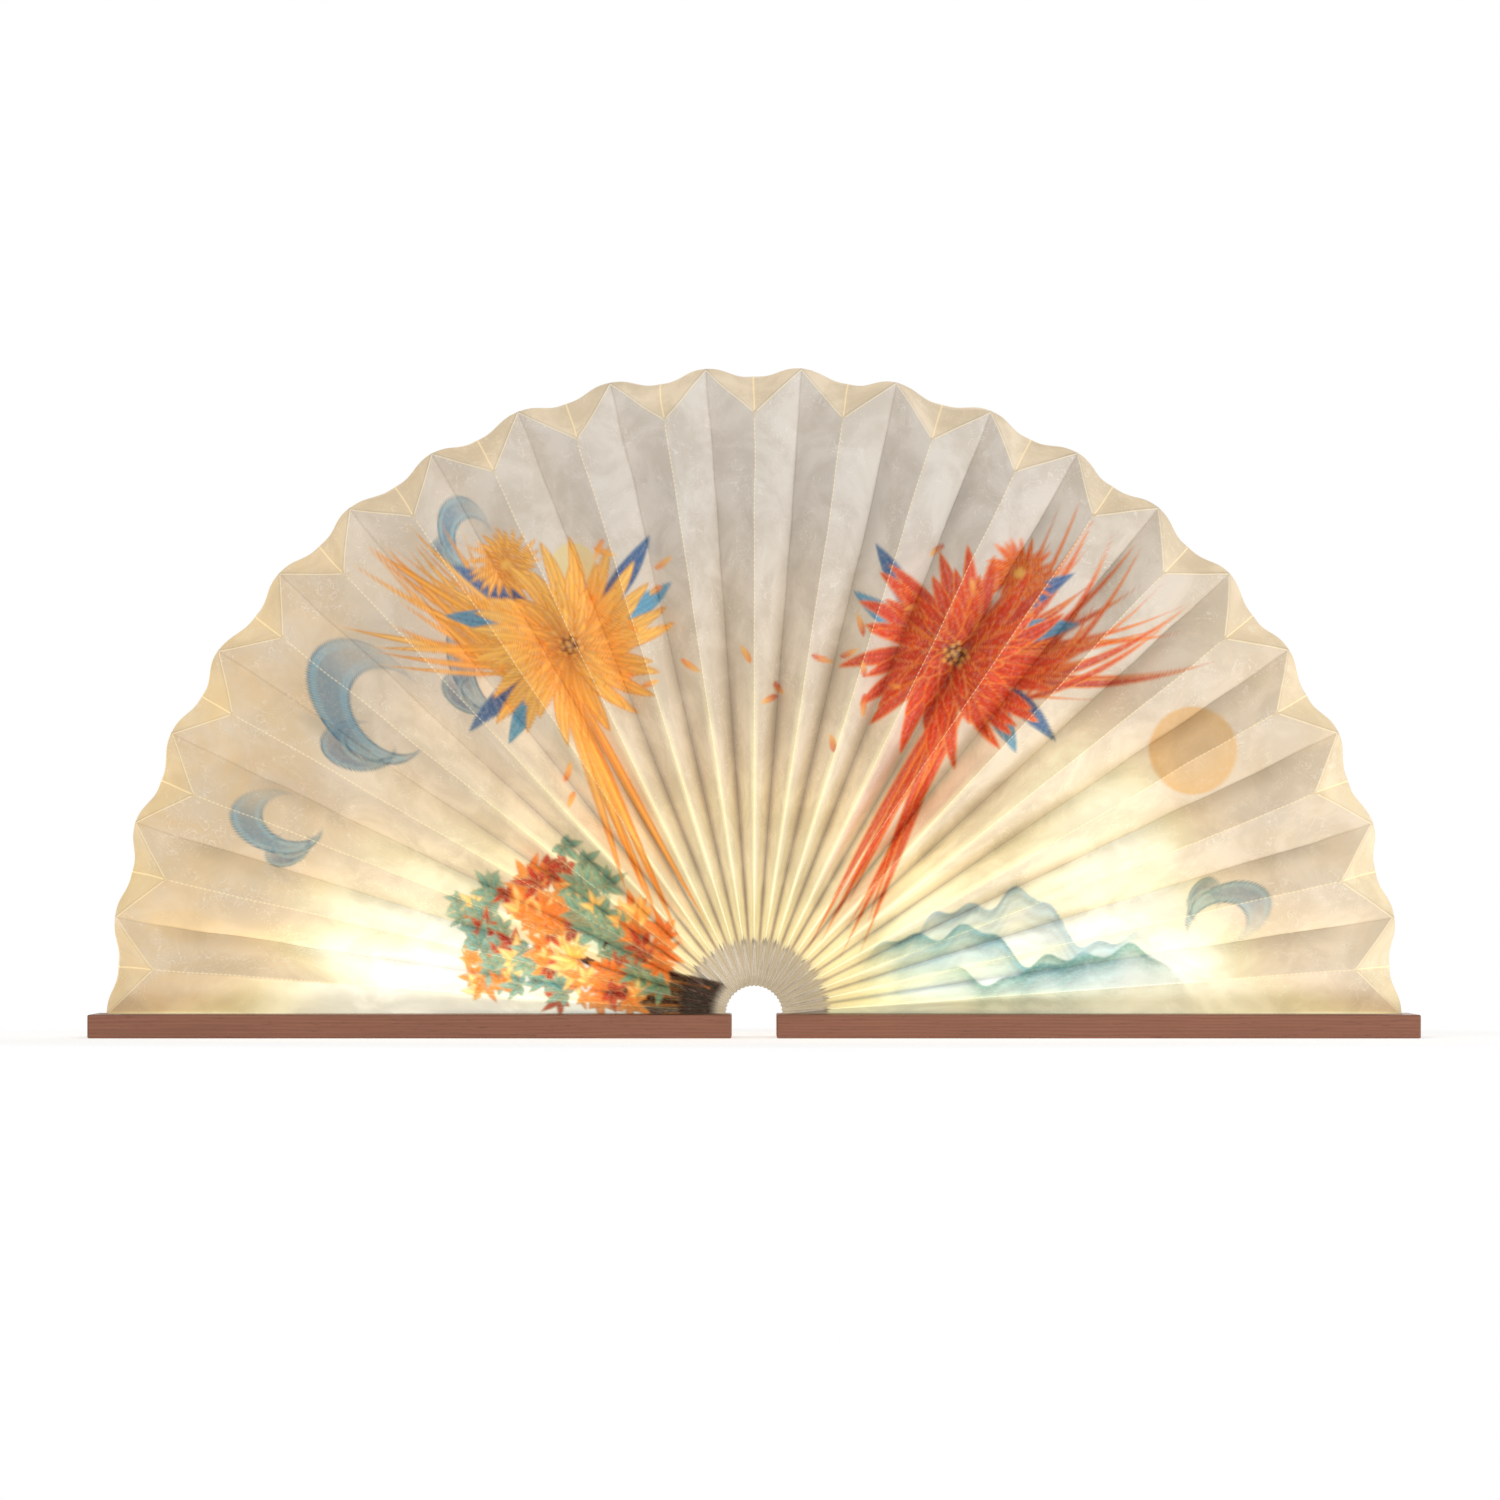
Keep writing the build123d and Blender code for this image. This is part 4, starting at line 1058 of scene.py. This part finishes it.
def chip_material(look):
    """Light chip: a white frame round a yellow phosphor window, lit."""
    material, graph = new_material("light_chip", Roughness=0.35, Emission_Strength=1.4)
    place = graph.place()
    x, y, z = graph.split(place)
    phase = graph.math("PINGPONG", graph.math("ABSOLUTE", x) - first_chip, chip_pitch / 2)
    inside = graph.step(phase, 0.0013, 0.0008) * graph.step(graph.math("ABSOLUTE", y), 0.0011, 0.0007)
    window = inside * graph.step(z, bar_low.z + 0.0012, bar_low.z + 0.0016)
    cloud = graph.noise(place, 2600.0, 2.0, 0.6)
    phosphor = graph.blend(cloud, look.phosphor, shade(look.phosphor, 0.8))
    graph.give(
        Base_Color=graph.blend(window, (0.84, 0.83, 0.78), phosphor),
        Emission_Color=tuple(look.lit) * window, Normal=graph.bump(cloud, 0.00002, 0.4))
    return material


def foil_material(look):
    """Pouch of the flat cell: crinkled foil, with heat-proof tape over the end of its leads."""
    material, graph = new_material("cell_foil")
    place = graph.place()
    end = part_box("battery")[1].x
    crease = graph.noise(place, 75.0, 4.0, 0.6, 0.8)
    fine = graph.noise(place, 420.0, 3.0, 0.6)
    tape = graph.step(graph.split(place)[0] + fine * 0.0008, end - 0.0090, end - 0.0086)
    foil = graph.blend(graph.step(crease, 0.35, 0.65), look.foil, shade(look.foil, 0.80))
    graph.give(Base_Color=graph.blend(tape, foil, look.tape), Metallic=tape * -0.9 + 0.9,
               Roughness=fine * 0.2 + 0.28, Normal=graph.bump(crease, 0.0003, 0.5))
    return material


def lead_material(name, look, node, axis):
    """Insulated wires: red on the lower side along an axis, black on the other."""
    material, graph = new_material(name, Specular_IOR_Level=0.5)
    place = graph.place()
    low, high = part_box(node)
    beyond = graph.math("GREATER_THAN", graph.split(place)[axis], (low[axis] + high[axis]) / 2)
    scuff = graph.noise(place * (300.0, 2500.0, 2500.0), 1.0)
    graph.give(
        Base_Color=graph.layers(look.lead_red, (beyond, look.lead_black),
                                (graph.step(scuff, 0.6, 0.8, 0.0, 0.3), (0.4, 0.36, 0.34))),
        Roughness=scuff * 0.2 + 0.35, Normal=graph.bump(graph.noise(place, 1500.0), 0.00003, 0.4))
    return material


def cable_material(look):
    """Flat cable: ribs over its four wires with painted shade in the grooves between them, one wire marked
    red.
    """
    material, graph = new_material("white_cable", Specular_IOR_Level=0.4)
    side = graph.attribute("side")["Fac"]
    ribs = graph.math("ABSOLUTE", graph.math("SINE", side * (2 * math.tau)))
    dust = graph.noise(graph.place(), 700.0, 3.0, 0.6)
    # Painted shade: the plastic darkens in the grooves between the ribs and at the edges
    graph.give(
        Base_Color=graph.layers(
            look.white, (graph.step(ribs, 0.0, 0.5, 0.35, 0.0), shade(look.white, 0.7)),
            (graph.step(dust, 0.5, 0.75, 0.0, 0.25), (0.62, 0.60, 0.55)),
            (graph.math("GREATER_THAN", side, 0.375) * 0.85, look.lead_red)),
        Roughness=dust * 0.2 + 0.42, Normal=graph.bump(ribs, 0.0002, 0.7))
    return material


# Operators, one for each group of pieces

class LAMP_OT_covers(bpy.types.Operator):
    """Finish the walnut covers and the thin panels that close them"""
    bl_idname = "lamp.covers"
    bl_label = "Walnut covers"

    def execute(self, context):
        look = context.scene.lamp_settings.wood
        paint_nodes(walnut_material("walnut", look, (0.0, 0.0, 0.0), 1.0), "cover_left")
        paint_nodes(walnut_material("walnut_right", look, (0.37, 0.021, 0.006), 1.03), "cover_right")
        paint_nodes(walnut_material("walnut_panel", look, (0.11, -0.034, 0.019), 0.93),
                    "inner_panel_left", "inner_panel_right")
        return {"FINISHED"}


def across(angle):
    """The direction in which the fan turns, at an angle from its right side."""
    return Vector((-math.sin(angle), 0.0, math.cos(angle)))


class LAMP_OT_bellows(bpy.types.Operator):
    """Build the pleated paper, printed and lit, with two pieces for each pleat: its panels and its spine"""
    bl_idname = "lamp.bellows"
    bl_label = "Paper bellows"

    def execute(self, context):
        settings = context.scene.lamp_settings
        sizes = settings.bellows
        paper = paper_material(settings.paper)
        sheet = printed_sheet(settings.paper)
        rim = sizes.rim_radius + sizes.rim_bulge
        trees = {"paper_": (pleat_tree("paper_pleat", 2, 5, sizes, paper), rim),
                 "spine_": (pleat_tree("paper_spine", 0, 2, sizes, paper), sizes.spine_radius)}
        leaf = leaf_top - cover_high.z
        for number, body in enumerate(pleat_names):
            angle = math.pi - (2 * number + 1) * half_step
            beside = (number == len(pleat_names) - 1) - (number == 0)
            room = shut_step - abs(beside) * leaf
            for part, (tree, reach) in trees.items():
                piece = grown(part + body, tree, Ridge_angle=angle, Seed=3.7 * number)
                if not len(piece.data.vertices):
                    raise RuntimeError(f"{body} has no paper")
                mark_paper(piece.data, sheet, sizes, settings.paper.glow)
                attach(piece, body)
                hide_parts(body)
                keep = settings.shut_fill * room / (2 * reach * math.tan(half_step))
                aside = beside * leaf / 2 / (1 - keep) * across(angle)
                centre + aside
                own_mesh(piece)
        for tree, reach in trees.values():
            bpy.data.node_groups.remove(tree)
        return {"FINISHED"}


class LAMP_OT_end_leaves(bpy.types.Operator):
    """Finish the paper leaves that glue the bellows to the covers"""
    bl_idname = "lamp.end_leaves"
    bl_label = "End leaves"

    def execute(self, context):
        paint_nodes(leaf_material(context.scene.lamp_settings.paper), "end_leaf_left", "end_leaf_right")
        return {"FINISHED"}


class LAMP_OT_light_bars(bpy.types.Operator):
    """Finish the boards, light chips and frosted covers of the two light bars, and the control board"""
    bl_idname = "lamp.light_bars"
    bl_label = "Light bars"

    def execute(self, context):
        look = context.scene.lamp_settings.fittings
        paint_nodes(frosted_material(look), "diffuser_left", "diffuser_right")
        paint_nodes(board_material(look), "led_board_left", "led_board_right", "control_board")
        paint_nodes(chip_material(look), "led_chips_left", "led_chips_right")
        return {"FINISHED"}


class LAMP_OT_link_cable(bpy.types.Operator):
    """Dress the flat cable that crosses the spine, in a run for each pleat, so that it shuts with them"""
    bl_idname = "lamp.link_cable"
    bl_label = "Link cable"

    def execute(self, context):
        settings = context.scene.lamp_settings
        finish = cable_material(settings.fittings)
        low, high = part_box("link_cable")
        whole = bmesh.new()
        whole.from_mesh(frame["nodes"]["link_cable"].data)
        bmesh.ops.remove_doubles(whole, verts=whole.verts, dist=0.000001)

        def lay_run(body, *kept_sides):
            run = whole.copy()
            for side in kept_sides:
                parts = (*run.verts, *run.edges, *run.faces)
                bmesh.ops.bisect_plane(run, geom=parts, plane_co=centre, plane_no=side, clear_inner=True)
            bmesh.ops.holes_fill(run, edges=[edge for edge in run.edges if edge.is_boundary])
            mesh = bpy.data.meshes.new("flat_cable_" + body)
            run.to_mesh(mesh)
            run.free()
            share = (read_points(mesh.vertices, "co")[:, 1] - low.y) / (high.y - low.y)
            write_points(mesh, "side", share - 0.5, "FLOAT", "value")
            piece = place_piece(mesh, finish)
            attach(piece, body)
            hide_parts("link_cable")
            return piece

        down = Vector((0.0, 0.0, -1.0))
        lay_run("cover_left", down, Vector((-1.0, 0.0, 0.0)))
        lay_run("cover_right", down, Vector((1.0, 0.0, 0.0)))
        fill = settings.shut_fill
        open_step = 2 * (high.z - cover_high.z) * math.tan(half_step)
        for number, body in enumerate(pleat_names):
            angle = math.pi - (2 * number + 1) * half_step
            piece = lay_run(body, across(angle - half_step), -across(angle + half_step))
            fill * shut_step / open_step
            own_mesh(piece)
        whole.free()
        return {"FINISHED"}


class LAMP_OT_electronics(bpy.types.Operator):
    """Finish the cell, its leads and plug, the switch, the socket and the button"""
    bl_idname = "lamp.electronics"
    bl_label = "Electronics"

    def execute(self, context):
        look = context.scene.lamp_settings.fittings
        paint_nodes(foil_material(look), "battery")
        paint_nodes(lead_material("battery_lead_plastic", look, "battery_leads", 1), "battery_leads")
        paint_nodes(lead_material("led_lead_plastic", look, "led_leads", 0), "led_leads")
        paint_nodes(plastic_material("white_plastic", look.white, 0.4), "battery_plug")
        paint_nodes(plastic_material("black_plastic", look.black, 0.45), "tact_switch")
        paint_nodes(plastic_material("button_plastic", look.button, 0.38, 1100.0), "power_button")
        paint_nodes(metal_material("socket_steel", look.steel, 0.25, (2600.0, 240.0, 2600.0)),
                    "charging_socket")
        return {"FINISHED"}


class LAMP_OT_screws(bpy.types.Operator):
    """Finish the screws of the panels, light bars and control board"""
    bl_idname = "lamp.screws"
    bl_label = "Screws"

    def execute(self, context):
        steel = context.scene.lamp_settings.fittings.steel
        paint_nodes(metal_material("screw_steel", steel, 0.28, (1900.0, 1900.0, 400.0)),
                    "panel_screws_left", "panel_screws_right", "diffuser_screws_left",
                    "diffuser_screws_right", "board_screws")
        return {"FINISHED"}


def aim(item, target):
    item.rotation_euler = (target - item.location).to_track_quat("-Z", "Y").to_euler()


def soft_light(name, place, size, power, tint):
    lamp = bpy.data.lights.new(name, "AREA")
    lamp.shape = "RECTANGLE"
    lamp.size, lamp.size_y = size
    lamp.energy = power
    lamp.color = tint
    item = bpy.data.objects.new(name, lamp)
    item.location = place
    bpy.context.scene.collection.objects.link(item)
    aim(item, Vector((0.0, 0.0, 0.14)))


def shaders(graph, kind, *strengths):
    """A white shader of this kind for each strength."""
    return [graph.add(kind, {"Color": white, "Strength": strength})[0] for strength in strengths]


def as_seen(graph, hidden, seen):
    """One shader for what is seen, also in gloss and through glass, and another for all other light."""
    path = graph.add("ShaderNodeLightPath")
    mirrored = graph.math("MAXIMUM", path["Is Glossy Ray"], path["Is Transmission Ray"])
    direct = graph.math("MAXIMUM", path["Is Camera Ray"], mirrored)
    graph.give(Surface=graph.add("ShaderNodeMixShader", {0: direct, 1: hidden, 2: seen})[0])


class LAMP_OT_stage(bpy.types.Operator):
    """Set up the floor, the white background, the soft lights and the camera"""
    bl_idname = "lamp.stage"
    bl_label = "Stage"

    def execute(self, context):
        scene = context.scene
        look = scene.lamp_settings.stage
        scene.view_settings.view_transform = "Standard"

        mesh = bpy.data.meshes.new("floor")
        half = 6.0
        corners = [(-half, -half, 0), (half, -half, 0), (half, half, 0), (-half, half, 0)]
        mesh.from_pydata(corners, [], [(0, 1, 2, 3)])
        material = bpy.data.materials.new("floor")
        material.use_nodes = True
        graph = Graph(material.node_tree, "ShaderNodeOutputMaterial")
        matt = graph.add("ShaderNodeBsdfDiffuse", {"Color": look.floor})[0]
        lift, blank = shaders(graph, "ShaderNodeEmission", 0.50, 1.0)
        near = graph.add("ShaderNodeAddShader", {0: matt, 1: lift})[0]
        off = graph.step(graph.vector("LENGTH", graph.place() * (0.7, 1.0, 1.0)), 0.26, 0.42)
        as_seen(graph, matt, graph.add("ShaderNodeMixShader", {0: off, 1: near, 2: blank})[0])
        floor = place_piece(mesh, material)
        floor.visible_shadow = False

        world = bpy.data.worlds.new("white_room")
        world.use_nodes = True
        graph = Graph(world.node_tree, "ShaderNodeOutputWorld")
        as_seen(graph, *shaders(graph, "ShaderNodeBackground", look.sky, 1.0))
        scene.world = world

        for name, place, size, power, tint in (
                ("key_light", Vector((1.9, -2.0, -1.3)), (1.5, 1.2), look.key, (0.94, 0.97, 1.0)),
                ("fill_light", Vector((-0.9, -2.6, 1.3)), (2.0, 1.6), look.fill, white)):
            soft_light(name, place, size, power, tint)
            soft_light("rear_" + name, place * Vector((-1, -1, 1)), size, power, tint)

        camera = bpy.data.cameras.new("camera")
        item = bpy.data.objects.new("camera", camera)
        target = Vector((-0.0019, 0.0, 0.1347))
        item.location = target + look.distance * Vector((0, -math.cos(look.height), math.sin(look.height)))
        scene.collection.objects.link(item)
        aim(item, target)
        camera.sensor_width = 36.0
        camera.lens = camera.sensor_width * (look.distance + cover_low.y) / look.frame_width
        camera.clip_end = 50.0
        scene.camera = item
        return {"FINISHED"}


steps = (LAMP_OT_stage, LAMP_OT_covers, LAMP_OT_bellows, LAMP_OT_end_leaves, LAMP_OT_light_bars,
         LAMP_OT_link_cable, LAMP_OT_electronics, LAMP_OT_screws)


class LAMP_PT_steps(bpy.types.Panel):
    """Lists the steps that dress the lamp"""
    bl_label = "Accordion lamp"
    bl_idname = "LAMP_PT_steps"
    bl_space_type = "VIEW_3D"
    bl_region_type = "UI"
    bl_category = "Lamp"

    def draw(self, context):
        for step in steps:
            self.layout.operator(step.bl_idname)


classes = (BellowsSizes, PaperLook, WoodLook, FittingLook, StageLook, LampSettings, *steps, LAMP_PT_steps)


def register():
    for item in classes:
        bpy.utils.register_class(item)
    bpy.types.Scene.lamp_settings = bpy.props.PointerProperty(type=LampSettings)


def unregister():
    del bpy.types.Scene.lamp_settings
    for item in reversed(classes):
        bpy.utils.unregister_class(item)


def main():
    register()
    for step in steps:
        getattr(bpy.ops.lamp, step.bl_idname.removeprefix("lamp."))()


if __name__ == "__main__":
    main()
